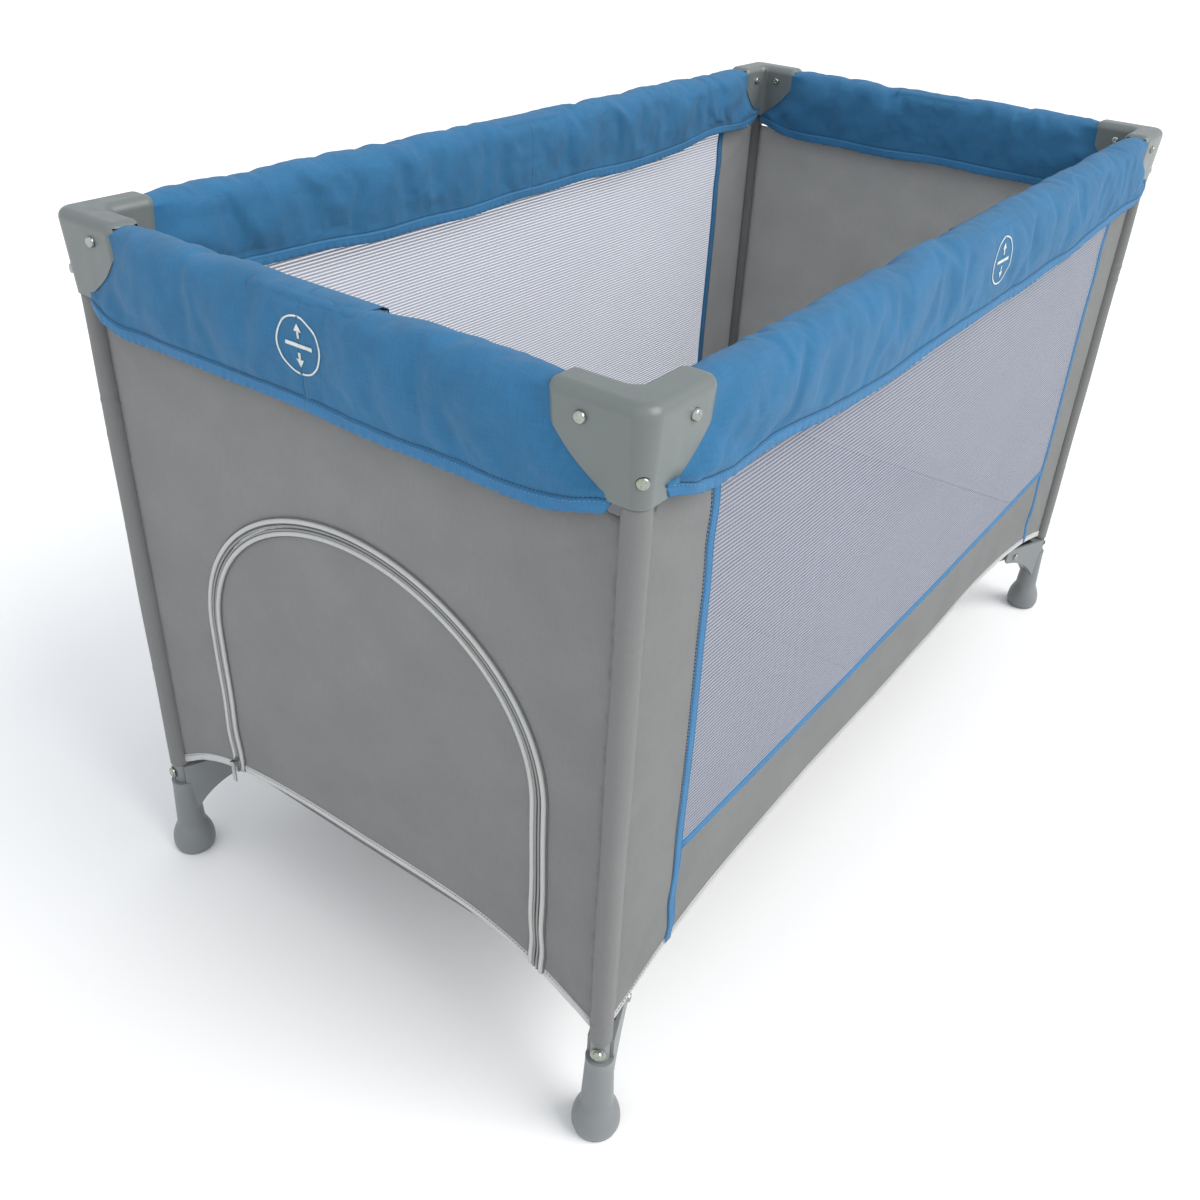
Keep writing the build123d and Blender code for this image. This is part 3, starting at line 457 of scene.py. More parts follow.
def wall_sheet(name, side, outline, material, body, step=0.006, offset=0.0, thick=0.0008):
    """A stretched sheet of cloth on a wall, following the shared billow."""
    flat, faces = filled(outline, step)
    out = billow(side, flat[:, 0], flat[:, 1]) + offset
    points = [on_side(side, float(x), float(z), float(d)) for (x, z), d in zip(flat, out)]
    faces = oriented(faces, points, SIDES[side][0])
    made = piece(name, points, faces, material, body, uv=flat)
    if thick:
        thicken(made, thick)
        apply_modifiers(made)
    return made


def thicken(target, thickness, offset=0.0):
    shell = target.modifiers.new("thickness", "SOLIDIFY")
    shell.thickness = thickness
    shell.offset = offset


def sweep(path, profile, outward):
    """Points and faces of a closed profile carried along a path. A profile point is (outward, sideways)."""
    path = [Vector(p) for p in path]
    points, faces = [], []
    count, ring = len(path), len(profile)
    for i, here in enumerate(path):
        along = (path[min(i + 1, count - 1)] - path[max(i - 1, 0)]).normalized()
        side = along.cross(outward).normalized()
        points += [here + outward * a + side * b for a, b in profile]
    for i in range(count - 1):
        for j in range(ring):
            a, b = i * ring + j, i * ring + (j + 1) % ring
            faces.append((a, b, b + ring, a + ring))
    faces.append(tuple(range(ring))[::-1])
    faces.append(tuple((count - 1) * ring + j for j in range(ring)))
    return points, faces


def merge(parts):
    """Several (points, faces) as one."""
    points, faces = [], []
    for some_points, some_faces in parts:
        start = len(points)
        points += list(some_points)
        faces += [tuple(i + start for i in f) for f in some_faces]
    return points, faces


def stitches(path, outward, pitch=0.0036, length=0.0026, radius=0.00035, lift=0.0002):
    """A run of thread: one small rounded stitch after another along a path."""
    path = [Vector(p) for p in path]
    spans = [0.0]
    for a, b in zip(path, path[1:]):
        spans.append(spans[-1] + (b - a).length)
    parts = []
    count = int(spans[-1] / pitch)
    stations = (np.arange(count) + 0.5) * pitch
    for station in stations:
        i = min(max(int(np.searchsorted(spans, station)) - 1, 0), len(path) - 2)
        share = (station - spans[i]) / max(spans[i + 1] - spans[i], 1e-9)
        here = path[i].lerp(path[i + 1], share)
        along = (path[i + 1] - path[i]).normalized()
        out = outward[i] if isinstance(outward, list) else outward
        side = along.cross(out).normalized()
        points = []
        for s, size in ((-0.5, 0.25), (-0.28, 1.0), (0.28, 1.0), (0.5, 0.25)):
            centre = here + along * (length * s) + out * lift
            for k in range(5):
                turn = 2 * math.pi * k / 5
                points.append(centre + out * (math.cos(turn) * radius * size)
                              + side * (math.sin(turn) * radius * size))
        faces = [(r * 5 + k, r * 5 + (k + 1) % 5, r * 5 + 5 + (k + 1) % 5, r * 5 + 5 + k)
                 for r in range(3) for k in range(5)]
        faces += [(4, 3, 2, 1, 0), (15, 16, 17, 18, 19)]
        parts.append((points, faces))
    return merge(parts)


# ---------------------------------------------------------------- fabric walls, window mesh and door

def arch(margin, bottom, count=72):
    """Doorway outline grown by a margin: up one side, over the arch and down the other."""
    half, rise = DOOR_HALF + margin, DOOR_RISE + margin
    turns = [math.pi * i / count for i in range(count + 1)]
    curve = [(DOOR_CENTRE + half * math.cos(t), DOOR_SPRING + rise * math.sin(t)) for t in turns]
    return [(DOOR_CENTRE + half, bottom)] + curve + [(DOOR_CENTRE - half, bottom)]


def hem_points(side, start, end, count):
    return [(float(x), float(hem_height(side, x))) for x in np.linspace(start, end, count)]


def wall_outline(side):
    """Outline of a wall panel: hem, edges inside the leg sleeves and notched top corners.

    The left one rises over the doorway, and the long ones are cut down from the top for the window."""
    half = SIDES[side][2]
    end = half - SLEEVE_R + SLEEVE_LAP
    shoulder = half - SHOULDER
    if side == "left":
        hem = (hem_points(side, -end, DOOR_CENTRE - DOOR_HALF, 16) + arch(0, 0.1)[::-1][1:-1]
               + hem_points(side, DOOR_CENTRE + DOOR_HALF, end, 12))
    else:
        hem = hem_points(side, -end, end, 90)
    window = [(WINDOW_HALF, WALL_TOP), (WINDOW_HALF, WINDOW_SILL), (-WINDOW_HALF, WINDOW_SILL),
              (-WINDOW_HALF, WALL_TOP)] if half > LONG_RUN else []
    return (hem + [(end, NOTCH_Z), (shoulder, NOTCH_Z), (shoulder, WALL_TOP)] + window
            + [(-shoulder, WALL_TOP), (-shoulder, NOTCH_Z), (-end, NOTCH_Z)])


def squash_wall(target, side):
    """Give a wall piece its own copy of its mesh."""
    if SIDES[side][2] > LONG_RUN:
        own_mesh(target)
    else:
        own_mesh(target)


def wall_path(side, flat, offset):
    return [on_side(side, x, z, float(billow(side, np.float64(x), np.float64(z))) + offset) for x, z in flat]


def band(name, side, flat, width, height, material, body, offset=0.0, ends=0.6):
    """A flat band with rounded edges laid along a line on a wall, centred on the cloth."""
    w, h = width / 2, height / 2
    profile = [(h, -w * 0.86), (h, w * 0.86), (h * ends, w), (-h * ends, w), (-h, w * 0.86), (-h, -w * 0.86),
               (-h * ends, -w), (h * ends, -w)]
    points, faces = sweep(wall_path(side, flat, offset), profile, SIDES[side][0])
    made = piece(name, points, faces, material, body)
    squash_wall(made, side)
    return made


def straight(first, last, step=0.008):
    first, last = np.array(first, float), np.array(last, float)
    count = max(2, int(np.linalg.norm(last - first) / step))
    return [tuple(first + (last - first) * i / count) for i in range(count + 1)]


def shifted(flat, amount):
    """A line on a wall moved sideways by an amount, to its left."""
    flat = [np.array(p, float) for p in flat]
    out = []
    for i, here in enumerate(flat):
        a, b = flat[max(i - 1, 0)], flat[min(i + 1, len(flat) - 1)]
        along = (b - a) / max(np.linalg.norm(b - a), 1e-9)
        out.append(tuple(here + np.array([-along[1], along[0]]) * amount))
    return out


def stitch_rows(name, side, lines, material, body, slot, both=True, lift=0.0010, **kind):
    """Rows of stitching along lines on a wall, on one or both faces."""
    outward = SIDES[side][0]
    parts = [stitches(wall_path(side, line, lift), outward, **kind) for line in lines]
    if both:
        parts += [stitches(wall_path(side, line, -lift), -outward, **kind) for line in lines]
    points, faces = merge(parts)
    squash_wall(piece(name, points, faces, material, body), side)


for side in SIDES:
    half = SIDES[side][2]
    body = WALL_BODY[side]
    long_side = half > LONG_RUN
    outline = wall_outline(side)
    wall = wall_sheet(f"{side}_panel", side, outline, M_GREY, body)
    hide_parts(f"wall_{side}")
    squash_wall(wall, side)

    # turned hem along the lower edge
    end = half - SLEEVE_R
    spans = [(-end, end, 110)]
    if side == "left":
        spans = [(-end, DOOR_CENTRE - DOOR_HALF - 0.0005, 14), (DOOR_CENTRE + DOOR_HALF + 0.0005, end, 10)]
    for index, (start, stop, count) in enumerate(spans):
        hem = shifted(hem_points(side, start, stop, count), 0.0042)
        band(f"{side}_hem_{index}", side, hem, 0.0088, 0.0024, M_GREY_BAND, body)
        stitch_rows(f"{side}_hem_stitch_{index}", side, [shifted(hem, 0.0028)], M_GREY_THREAD, body,
                    "grey_cloth", lift=0.0011)

    if long_side:
        # window mesh, its edges lapped under the bindings
        lap = 0.007
        outline = [(-WINDOW_HALF - lap, WINDOW_SILL - lap), (WINDOW_HALF + lap, WINDOW_SILL - lap),
                   (WINDOW_HALF + lap, WALL_TOP - 0.002), (-WINDOW_HALF - lap, WALL_TOP - 0.002)]
        mesh = wall_sheet(f"{side}_net", side, outline, M_NET, body, step=0.009, offset=0.0007, thick=0)
        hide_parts(f"mesh_{side}")
        squash_wall(mesh, side)
        # bindings: two uprights from under the cover to the hem, and the sill between them
        for label, sign in (("l", -1), ("r", 1)):
            x = sign * (WINDOW_HALF + 0.001)
            line = straight((x, float(hem_height(side, x)) + 0.001), (x, 0.700))
            band(f"{side}_binding_{label}", side, line, 0.0105, 0.0034, M_TAPE, body)
            stitch_rows(f"{side}_binding_{label}_stitch", side,
                               [shifted(line, 0.0034), shifted(line, -0.0034)], M_THREAD, body, "blue_cloth",
                               lift=0.0017)
            stitch_rows(f"{side}_seam_{label}", side, [shifted(line, -sign * 0.0066)], M_DARK_THREAD, body,
                               "grey_cloth", lift=0.0006, length=0.0022, radius=0.0004)
        line = straight((-WINDOW_HALF + 0.003, WINDOW_SILL), (WINDOW_HALF - 0.003, WINDOW_SILL))
        band(f"{side}_sill", side, line, 0.0095, 0.0030, M_TAPE, body)
        stitch_rows(f"{side}_sill_stitch", side, [shifted(line, 0.003), shifted(line, -0.003)], M_THREAD,
                           body, "blue_cloth", lift=0.0015)

# door flap: the cloth inside the doorway
low_y, high_y = DOOR_CENTRE - DOOR_HALF + DOOR_GAP, DOOR_CENTRE + DOOR_HALF - DOOR_GAP
outline = hem_points("left", low_y, high_y, 60) + arch(-DOOR_GAP, 0.1)[1:-1]
door = wall_sheet("door_cloth", "left", outline, M_GREY, "door")
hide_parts("door_flap")
squash_wall(door, "left")
hem = shifted(hem_points("left", low_y, high_y, 50), 0.0042)
band("door_hem", "left", hem, 0.0088, 0.0024, M_GREY_BAND, "door")
stitch_rows("door_hem_stitch", "left", [shifted(hem, 0.0028)], M_GREY_THREAD, "door", "grey_cloth", lift=0.0011)


def zip_line(margin):
    """A line round the doorway at a margin, with both feet on the hem."""
    curve = arch(margin, 0.0, 96)[1:-1]
    right, left = curve[0], curve[-1]
    feet = [(run, float(hem_height("left", run)) + 0.0012) for run in (right[0], left[0])]
    return straight(feet[0], right, 0.008)[:-1] + curve + straight(left, feet[1], 0.008)[1:]


# zip: a tape on the wall and one on the door, each with a stitched fold and its row of teeth
def zip_side(name, margins, fold, coil, body, node=None):
    middle, width = sum(margins) / 2, abs(margins[1] - margins[0])
    tape = band(f"{name}_tape", "left", zip_line(middle), width, 0.0011, M_TAPE_ZIP, body, offset=0.0011)
    band(f"{name}_fold", "left", zip_line(fold), 0.0042, 0.0030, M_GREY_BAND, body,
         offset=0.0021, ends=0.2)
    band(f"{name}_coil", "left", zip_line(coil), 0.0020, 0.0024, M_COIL, body, offset=0.0019,
         ends=0.2)
    stitch_rows(f"{name}_stitch", "left", [zip_line(fold + 0.0030 * np.sign(fold)), zip_line(fold)],
                M_GREY_THREAD, body, "zip_tape", both=False, lift=0.0018, radius=0.0003)
    if node:
        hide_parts(node)


zip_side("zip_wall", (0.0002, 0.0094), 0.0058, 0.0010, "leg_fl", "zip_track")
zip_side("zip_door", (-0.0094, -0.0018), -0.0062, -0.0026, "door")

# ---------------------------------------------------------------- leg sleeves

def sleeve_radius(turn, height, seed):
    """Outer radius of the cloth round a leg: a few ring folds where it has slipped, and slow waves."""
    radius = SLEEVE_R + 0.00025 * math.sin(height * 31 + seed) + 0.0002 * math.sin(3 * turn + height * 9 + seed)
    for k, (where, size, lean) in enumerate(((0.585, 1.0, 0.9), (0.573, 0.8, 2.1), (0.548, 0.6, 3.6), (0.43, 0.35, 1.2),
                                             (0.255, 0.45, 4.4), (0.165, 0.5, 2.8))):
        centre = where + 0.004 * math.sin(turn + lean + seed) + 0.012 * math.sin(seed * 3 + k)
        reach = 0.5 + 0.5 * math.cos(turn - lean - seed)
        radius += 0.0011 * size * reach * math.exp(-((height - centre) / 0.0022) ** 2)
        radius -= 0.0004 * size * reach * math.exp(-((height - centre - 0.005) / 0.003) ** 2)
    return radius


for index, (corner, (sx, sy)) in enumerate(CORNERS.items()):
    top, bottom, ring = CAP_TIP - 0.0006, 0.1285, 44
    heights = np.linspace(bottom, top, 300)
    points, faces, uv = [], [], []
    for row, z in enumerate(heights):
        for k in range(ring):
            turn = 2 * math.pi * k / ring
            r = sleeve_radius(turn, z, index * 1.7)
            if row == 0:
                r = SLEEVE_R - 0.0011
            points.append((sx * LEG_X + r * math.cos(turn), sy * LEG_Y + r * math.sin(turn), z))
            uv.append((SLEEVE_R * turn, z))
    faces = [(a * ring + k, a * ring + (k + 1) % ring, (a + 1) * ring + (k + 1) % ring, (a + 1) * ring + k)
             for a in range(len(heights) - 1) for k in range(ring)]
    made = piece(f"leg_sleeve_{corner}", points, faces, M_SLEEVE, f"leg_{corner}", uv=uv)
    thicken(made, 0.0008, -1)


# ---------------------------------------------------------------- padded rail covers

CAP_EDGE = ((0.6840, 0.0100), (0.6895, 0.0200), (0.6980, 0.0320), (0.7110, 0.0480), (0.7260, 0.0605), (0.7450, 0.0690),
            (0.7520, 0.0685), (0.7570, 0.0650), (0.7600, 0.0605))
CAP_FACE = ((0.6840, 0.0120), (0.7600, 0.0170))


def cap_edge(height):
    """How far a cap's arm reaches from the leg axis at a height."""
    return np.interp(height, [z for z, _ in CAP_EDGE], [u for _, u in CAP_EDGE])


def cap_face(height):
    return np.interp(height, [z for z, _ in CAP_FACE], [w for _, w in CAP_FACE])


def cover_profile(step):
    """Cross section of a cover from the outer hem over the top to the inner hem, as (outward, height)."""
    rough = [(0.0190, COVER_HEM), (0.0205, 0.680), (0.0222, 0.700), (0.0229, 0.718), (0.0223, 0.734)]
    for turn in np.linspace(0.12, math.pi - 0.12, 26):
        rough.append((0.0221 * math.cos(turn), 0.7376 + (COVER_TOP - 0.7380) * math.sin(turn)))
    rough += [(-a, b) for a, b in reversed(rough[:5])]
    rough = np.array(rough)
    spans = np.concatenate([[0], np.cumsum(np.linalg.norm(np.diff(rough, axis=0), axis=1))])
    count = int(round(spans[-1] / step))
    along = np.linspace(0, spans[-1], count + 1)
    return np.stack([np.interp(along, spans, rough[:, 0]), np.interp(along, spans, rough[:, 1])], 1), along


def cover_grid(half, step, seed):
    """Rest shape of one side's cover: rows along the profile, columns along the run."""
    profile, along = cover_profile(step)
    columns = int(round(half / step))
    shares = np.linspace(-1, 1, 2 * columns + 1)
    points = np.zeros((len(profile), len(shares), 3))
    uv = np.zeros((len(profile), len(shares), 2))
    free = np.zeros((len(profile), len(shares)))
    reach = half - 0.0138
    start = reach - 0.19 if half > LONG_RUN else reach - 0.17
    rng = np.random.default_rng(seed)
    phases = rng.uniform(0, 6.28, 12)
    for row, (out, z) in enumerate(profile):
        tuck = 0.005 + 0.007 * smooth((z - 0.715) / 0.02)
        end = min(half - (cap_edge(z) - tuck), reach)
        end -= 0.0045 * (1 - math.sqrt(min(1.0, (z - COVER_HEM) / 0.010)))
        run = np.abs(shares) * reach
        run = np.where(run > start, start + (run - start) / (reach - start) * (end - start), run)
        x = np.sign(shares) * run
        gap = (half - cap_edge(z)) - run            # distance from the cap's edge
        near = smooth((gap + 0.002) / 0.034)
        free[row] = smooth((gap - 0.002) / 0.036)
        face = cap_face(z) - 0.0014
        width = np.where(abs(out) > 1e-6, np.minimum(1.0, (face + (abs(out) - face) * near) / max(abs(out), 1e-6)), 1)
        y = out * width
        top = max(0.0, (z - 0.735) / (COVER_TOP - 0.735))
        height = z - (1 - near) * 0.0024 * top
        corner = half - run
        low = smooth((0.70 - z) / 0.03)
        height = height + low * 0.0105 * smooth((0.075 - corner) / 0.062)
        if half > LONG_RUN:
            height = height + low * 0.0120 * smooth((0.34 - corner) / 0.22)
        height = height - 0.0016 * top * (1 - (run / half) ** 2)
        # soft folds: slow waves all along, and folds that fan out from the caps
        skirt = smooth((0.752 - z) / 0.03) * smooth((z - COVER_HEM) / 0.02 + 0.25)
        fold = 0.0009 * np.sin(x * 23 + phases[0] + z * 14) + 0.0007 * np.sin(x * 51 + phases[1] - z * 33)
        for i, side in enumerate((-1, 1)):
            dx = half - 0.050 - side * x
            dz = 0.752 - z
            angle = np.arctan2(dz, np.maximum(dx, -0.03) + 0.04)
            far = np.hypot(dx, dz)
            fold = fold + 0.0019 * np.sin(angle * 13 + phases[2 + i] + 14 * far) * np.exp(-((far - 0.055) / 0.06) ** 2)
            fold = fold + 0.0010 * np.sin(dz * 95 + phases[4 + i] + dx * 30) * np.exp(-((far - 0.04) / 0.035) ** 2)
        y = y + np.sign(out) * fold * skirt * near
        hem_wave = 0.0012 * np.sin(x * 17 + phases[6]) + 0.0007 * np.sin(x * 41 + phases[7])
        height = height + hem_wave * smooth((0.70 - z) / 0.036) * near * (1 if out > 0 else 1.5)
        points[row] = np.stack([x, y, height], 1)
        uv[row] = np.stack([x, np.full(len(x), along[row])], 1)
    return points, uv, shares, free


def grid_faces(rows, columns):
    return [(r * columns + c, (r + 1) * columns + c, (r + 1) * columns + c + 1, r * columns + c + 1)
            for r in range(rows - 1) for c in range(columns - 1)]


def simulate(points, faces, hold, growth, pressure, outward, inward, normals):
    """Cloth run on a sheet: it grows a little, so it buckles; each point's move is held between two limits."""
    mesh = bpy.data.meshes.new("cloth_run")
    mesh.from_pydata([tuple(p) for p in points], [], faces)
    mesh.update()
    target = bpy.data.objects.new("cloth_run", mesh)
    scene.collection.objects.link(target)
    group = target.vertex_groups.new(name="held")
    for index, weight in enumerate(hold):
        group.add([index], float(weight), "REPLACE")
    cloth = target.modifiers.new("cloth", "CLOTH")
    rules = cloth.settings
    rules.quality = 5
    rules.mass = 0.25
    rules.tension_stiffness = 25
    rules.compression_stiffness = 25
    rules.shear_stiffness = 10
    rules.bending_stiffness = 0.6
    rules.air_damping = 2.0
    rules.effector_weights.gravity = 0
    rules.vertex_group_mass = "held"
    rules.pin_stiffness = 0.6
    rules.shrink_min = growth
    rules.use_pressure = True
    rules.uniform_pressure_force = pressure
    cloth.collision_settings.use_collision = False
    for number in range(1, 21):
        scene.frame_set(number)
    graph = bpy.context.evaluated_depsgraph_get()
    moved = coordinates(target.evaluated_get(graph))
    scene.frame_set(1)
    bpy.data.objects.remove(target)
    shift = moved - points
    shift[~np.isfinite(shift).all(1)] = 0
    size = np.linalg.norm(shift, axis=1, keepdims=True)
    shift = shift * np.minimum(1, outward / np.maximum(size, 1e-9))
    along = (shift * normals).sum(1, keepdims=True)
    shift = shift + normals * np.clip(-inward - along, 0, None)
    return points + shift


def grid_normals(points):
    rows = np.gradient(points, axis=0)
    columns = np.gradient(points, axis=1)
    normals = np.cross(columns, rows)
    return normals / np.maximum(np.linalg.norm(normals, axis=2, keepdims=True), 1e-12)


def smoothed(grid, times):
    for _ in range(times):
        inner = (grid[:-2, 1:-1] + grid[2:, 1:-1] + grid[1:-1, :-2] + grid[1:-1, 2:]) / 4
        grid[1:-1, 1:-1] = grid[1:-1, 1:-1] * 0.5 + inner * 0.5
    return grid


covers = {}
for kind, half, seed in (("long", LEG_X, 5), ("short", LEG_Y, 11)):
    grid, uv, shares, free = cover_grid(half, 0.005, seed)
    rows, columns = grid.shape[:2]
    hold = np.zeros((rows, columns)) + 0.02
    hold += 0.9 * (1 - smooth((1 - np.abs(shares)) / 0.06))[None, :]
    hold += 0.35 * np.exp(-(shares * half / 0.03) ** 2)[None, :]
    hem = np.zeros(rows)
    hem[:3] = hem[-3:] = 0.85
    hold = np.clip(hold + hem[:, None], 0, 1)
    normals = grid_normals(grid)
    flipped = normals[:, :, 2][rows // 2].mean() < 0
    normals = -normals if flipped else normals
    rng = np.random.default_rng(seed)
    start = grid + normals * rng.normal(0, 0.00035, (rows, columns, 1)) * (1 - hold[:, :, None])
    moved = simulate(start.reshape(-1, 3), grid_faces(rows, columns), hold.ravel(), -0.035, 0.35, 0.0055, 0.0022,
                     normals.reshape(-1, 3))
    moved = smoothed(moved.reshape(rows, columns, 3), 2)
    shift = (moved - grid) * free[:, :, None]
    shift[:, :, 0] *= smooth(np.abs(shares) * half / 0.04)
    grid = grid + shift
    covers[kind] = (grid, uv)


def side_space(side, points):
    """Points in a side's own (run, outward from the wall plane, height) put into the frame."""
    outward, along, _, plane = SIDES[side]
    points = np.asarray(points, float).reshape(-1, 3)
    return (np.outer(points[:, 0], np.array(along)) + np.outer(points[:, 1] + plane, np.array(outward))
            + np.outer(points[:, 2], [0, 0, 1]))


def refined(points, uv):
    """One subdivision of a grid by cubic midpoints, for its points and its UV."""
    def doubled(values, axis):
        values = np.moveaxis(values, axis, 0)
        padded = np.concatenate([values[:1] * 2 - values[1:2], values, values[-1:] * 2 - values[-2:-1]])
        middle = (9 * (padded[1:-2] + padded[2:-1]) - padded[:-3] - padded[3:]) / 16
        out = np.zeros((2 * len(values) - 1,) + values.shape[1:])
        out[0::2], out[1::2] = values, middle
        return np.moveaxis(out, 0, axis)
    return doubled(doubled(points, 0), 1), doubled(doubled(uv, 0), 1)


COVER_THICK = 0.0030
ENDS = {"front": ("left", "right"), "back": ("left", "right"), "left": ("front", "back"), "right": ("front", "back")}


def squash_cover(target):
    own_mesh(target)


def cover_shell(grid, uv):
    """Closed pad of cloth and foam: the outer grid, the same grid a thickness inward, and the rim between."""
    rows, columns = grid.shape[:2]
    normals = grid_normals(grid)
    if normals[rows // 2, :, 2].mean() < 0:
        normals = -normals
    inner = grid - normals * COVER_THICK
    points = np.concatenate([grid.reshape(-1, 3), inner.reshape(-1, 3)])
    base = np.array(grid_faces(rows, columns))
    faces = [tuple(f) for f in base] + [tuple(f[::-1] + rows * columns) for f in base]
    rim = [(r, 0) for r in range(rows)] + [(rows - 1, c) for c in range(1, columns)]
    rim += [(r, columns - 1) for r in range(rows - 2, -1, -1)] + [(0, c) for c in range(columns - 2, 0, -1)]
    ring = [r * columns + c for r, c in rim]
    start = rows * columns
    for a, b in zip(ring, ring[1:] + ring[:1]):
        faces.append((b, a, a + start, b + start))
    flat = np.concatenate([uv.reshape(-1, 2)] * 2)
    return points, faces, flat, normals


def rail_piece(side, end):
    return f"half_{side}_{end}"


for side in SIDES:
    kind = "long" if SIDES[side][2] > LONG_RUN else "short"
    grid, uv = covers[kind]
    if side in ("back", "right"):
        grid = grid[:, ::-1] * np.array([-1, 1, 1])
        uv = uv[:, ::-1] * np.array([-1, 1])
    grid, uv = refined(grid, uv)
    columns = grid.shape[1]
    middle = columns // 2
    for end, part in ((0, slice(0, middle + 1)), (1, slice(middle, columns))):
        name = ENDS[side][end]
        body = rail_piece(side, name)
        half_grid, half_uv = grid[:, part], uv[:, part]
        points, faces, flat, normals = cover_shell(half_grid, half_uv)
        world = side_space(side, points)
        mirrored = SIDES[side][1].cross(SIDES[side][0]).z < 0
        if mirrored:
            faces = [f[::-1] for f in faces]
        made = piece(f"cover_{side}_{name}_pad", world, faces, M_BLUE, body, uv=flat)
        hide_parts(f"cover_{side}_{name}")
        squash_cover(made)
        # hem tape folded round the lower edge, with its two rows of stitching, outside and inside
        for label, order, sign in (("outer", 1, 1), ("inner", -1, -1)):
            strip = half_grid[::order][:7]
            lean = normals[::order][:7]
            tape_rows = []
            levels = (4.0, 3.0, 1.6, 0.0)
            for level in levels:
                low = int(level)
                share = level - low
                line = strip[low] * (1 - share) + strip[low + 1] * share
                tape_rows.append(line + lean[0] * (0.00055 if level == levels[0] else 0.0010))
            edge = strip[0]
            tape_rows.append(edge + lean[0] * 0.0004 - np.array([0, 0, 0.0012]))
            tape_rows.append(edge - lean[0] * (COVER_THICK + 0.0003) - np.array([0, 0, 0.0012]))
            for level in reversed(levels):
                low = int(level)
                share = level - low
                line = strip[low] * (1 - share) + strip[low + 1] * share
                tape_rows.append(line - lean[0] * (COVER_THICK + (0.0004 if level == levels[0] else 0.0008)))
            tape = np.array(tape_rows)
            count = tape.shape[1]
            tape_faces = [(r * count + c, r * count + c + 1, ((r + 1) % len(tape)) * count + c + 1,
                           ((r + 1) % len(tape)) * count + c) for r in range(len(tape)) for c in range(count - 1)]
            tape_faces += [tuple(r * count for r in range(len(tape))),
                           tuple(r * count + count - 1 for r in reversed(range(len(tape))))]
            world = side_space(side, tape)
            made = piece(f"cover_{side}_{name}_tape_{label}", world, tape_faces, M_TAPE, body)
            squash_cover(made)
            parts = []
            outward = SIDES[side][0] * sign
            for level, lift in ((3.4, 0.0012), (4.7, 0.0002)):
                low = int(level)
                share = level - low
                line = strip[low] * (1 - share) + strip[low + 1] * share + lean[0] * lift
                path = [Vector(p) for p in side_space(side, line)]
                parts.append(stitches(path[1:-1], outward, pitch=0.0034, length=0.0024, radius=0.0003))
            for suffix, some, material in (("thread", parts[0], M_THREAD), ("seam", parts[1], M_DARK_THREAD)):
                made = piece(f"cover_{side}_{name}_{suffix}_{label}", some[0], some[1], material, body)
                squash_cover(made)

# ---------------------------------------------------------------- printed sign over each lock

def ribbon(points, width):
    """A stroke along 2-D points as quads between its two edges."""
    points = [np.array(p, float) for p in points]
    left, right = [], []
    count = len(points)
    for i, here in enumerate(points):
        along = points[min(i + 1, count - 1)] - points[max(i - 1, 0)]
        along = along / max(np.linalg.norm(along), 1e-9)
        normal = np.array([-along[1], along[0]]) * width / 2
        left.append(here + normal)
        right.append(here - normal)
    flat = left + right
    faces = [(i, i + 1, count + i + 1, count + i) for i in range(count - 1)]
    return flat, faces


def sign_shapes(side_sign):
    """One half of the sign: half a ring, half of each arrow and half of the bar, right of the middle."""
    radius, stroke = 0.0232, 0.0015
    turns = np.linspace(-math.pi / 2, math.pi / 2, 41)
    shapes = [ribbon([(radius * math.cos(t), radius * math.sin(t)) for t in turns], stroke)]
    shapes.append(ribbon([(0.0, 0.0), (0.003, 0.0), (0.006, 0.0), (0.009, 0.0), (0.012, 0.0), (0.0145, 0.0)], 0.0030))
    for up in (1, -1):
        stem = np.linspace(0.0056, 0.0115, 4)
        flat = [(0.0, up * z) for z in stem] + [(0.0011, up * z) for z in stem]
        shapes.append((flat, [(i, i + 1, 5 + i, 4 + i) for i in range(3)]))
        head = [(0.0, up * 0.0112), (0.0042, up * 0.0112), (0.0, up * 0.0176), (0.0021, up * 0.0144),
                (0.0, up * 0.0144), (0.0021, up * 0.0112)]
        shapes.append((head, [(0, 5, 3, 4), (5, 1, 3), (4, 3, 2)]))
    return [([(side_sign * a, b) for a, b in flat], faces) for flat, faces in shapes]


SIGN_Z = 0.719
for side in SIDES:
    outward = SIDES[side][0]
    for end in (0, 1):
        name = ENDS[side][end]
        cover = bpy.data.objects[f"cover_{side}_{name}_pad"]
        mesh = cover.data
        tree = BVHTree.FromPolygons([v.co for v in mesh.vertices], [p.vertices for p in mesh.polygons])
        parts = []
        for flat, faces in sign_shapes(1 if end else -1):
            points = []
            for a, b in flat:
                a = a if abs(a) > 1e-5 else (1e-5 if end else -1e-5)
                start = on_side(side, a, SIGN_Z + b, 0.05)
                hit = tree.ray_cast(start, -outward)
                place = hit[0] if hit[0] is not None else on_side(side, a, SIGN_Z + b, COVER_HALF)
                points.append(place + outward * 0.00035)
            parts.append((points, faces))
        points, faces = merge(parts)
        fixed = []
        for f in faces:
            a, b, c = (Vector(points[i]) for i in f[:3])
            fixed.append(f if (b - a).cross(c - a).dot(outward) > 0 else f[::-1])
        made = piece(f"cover_{side}_{name}_sign", points, fixed, M_PRINT, rail_piece(side, name))
        thicken(made, 0.0003, 1)
        squash_cover(made)

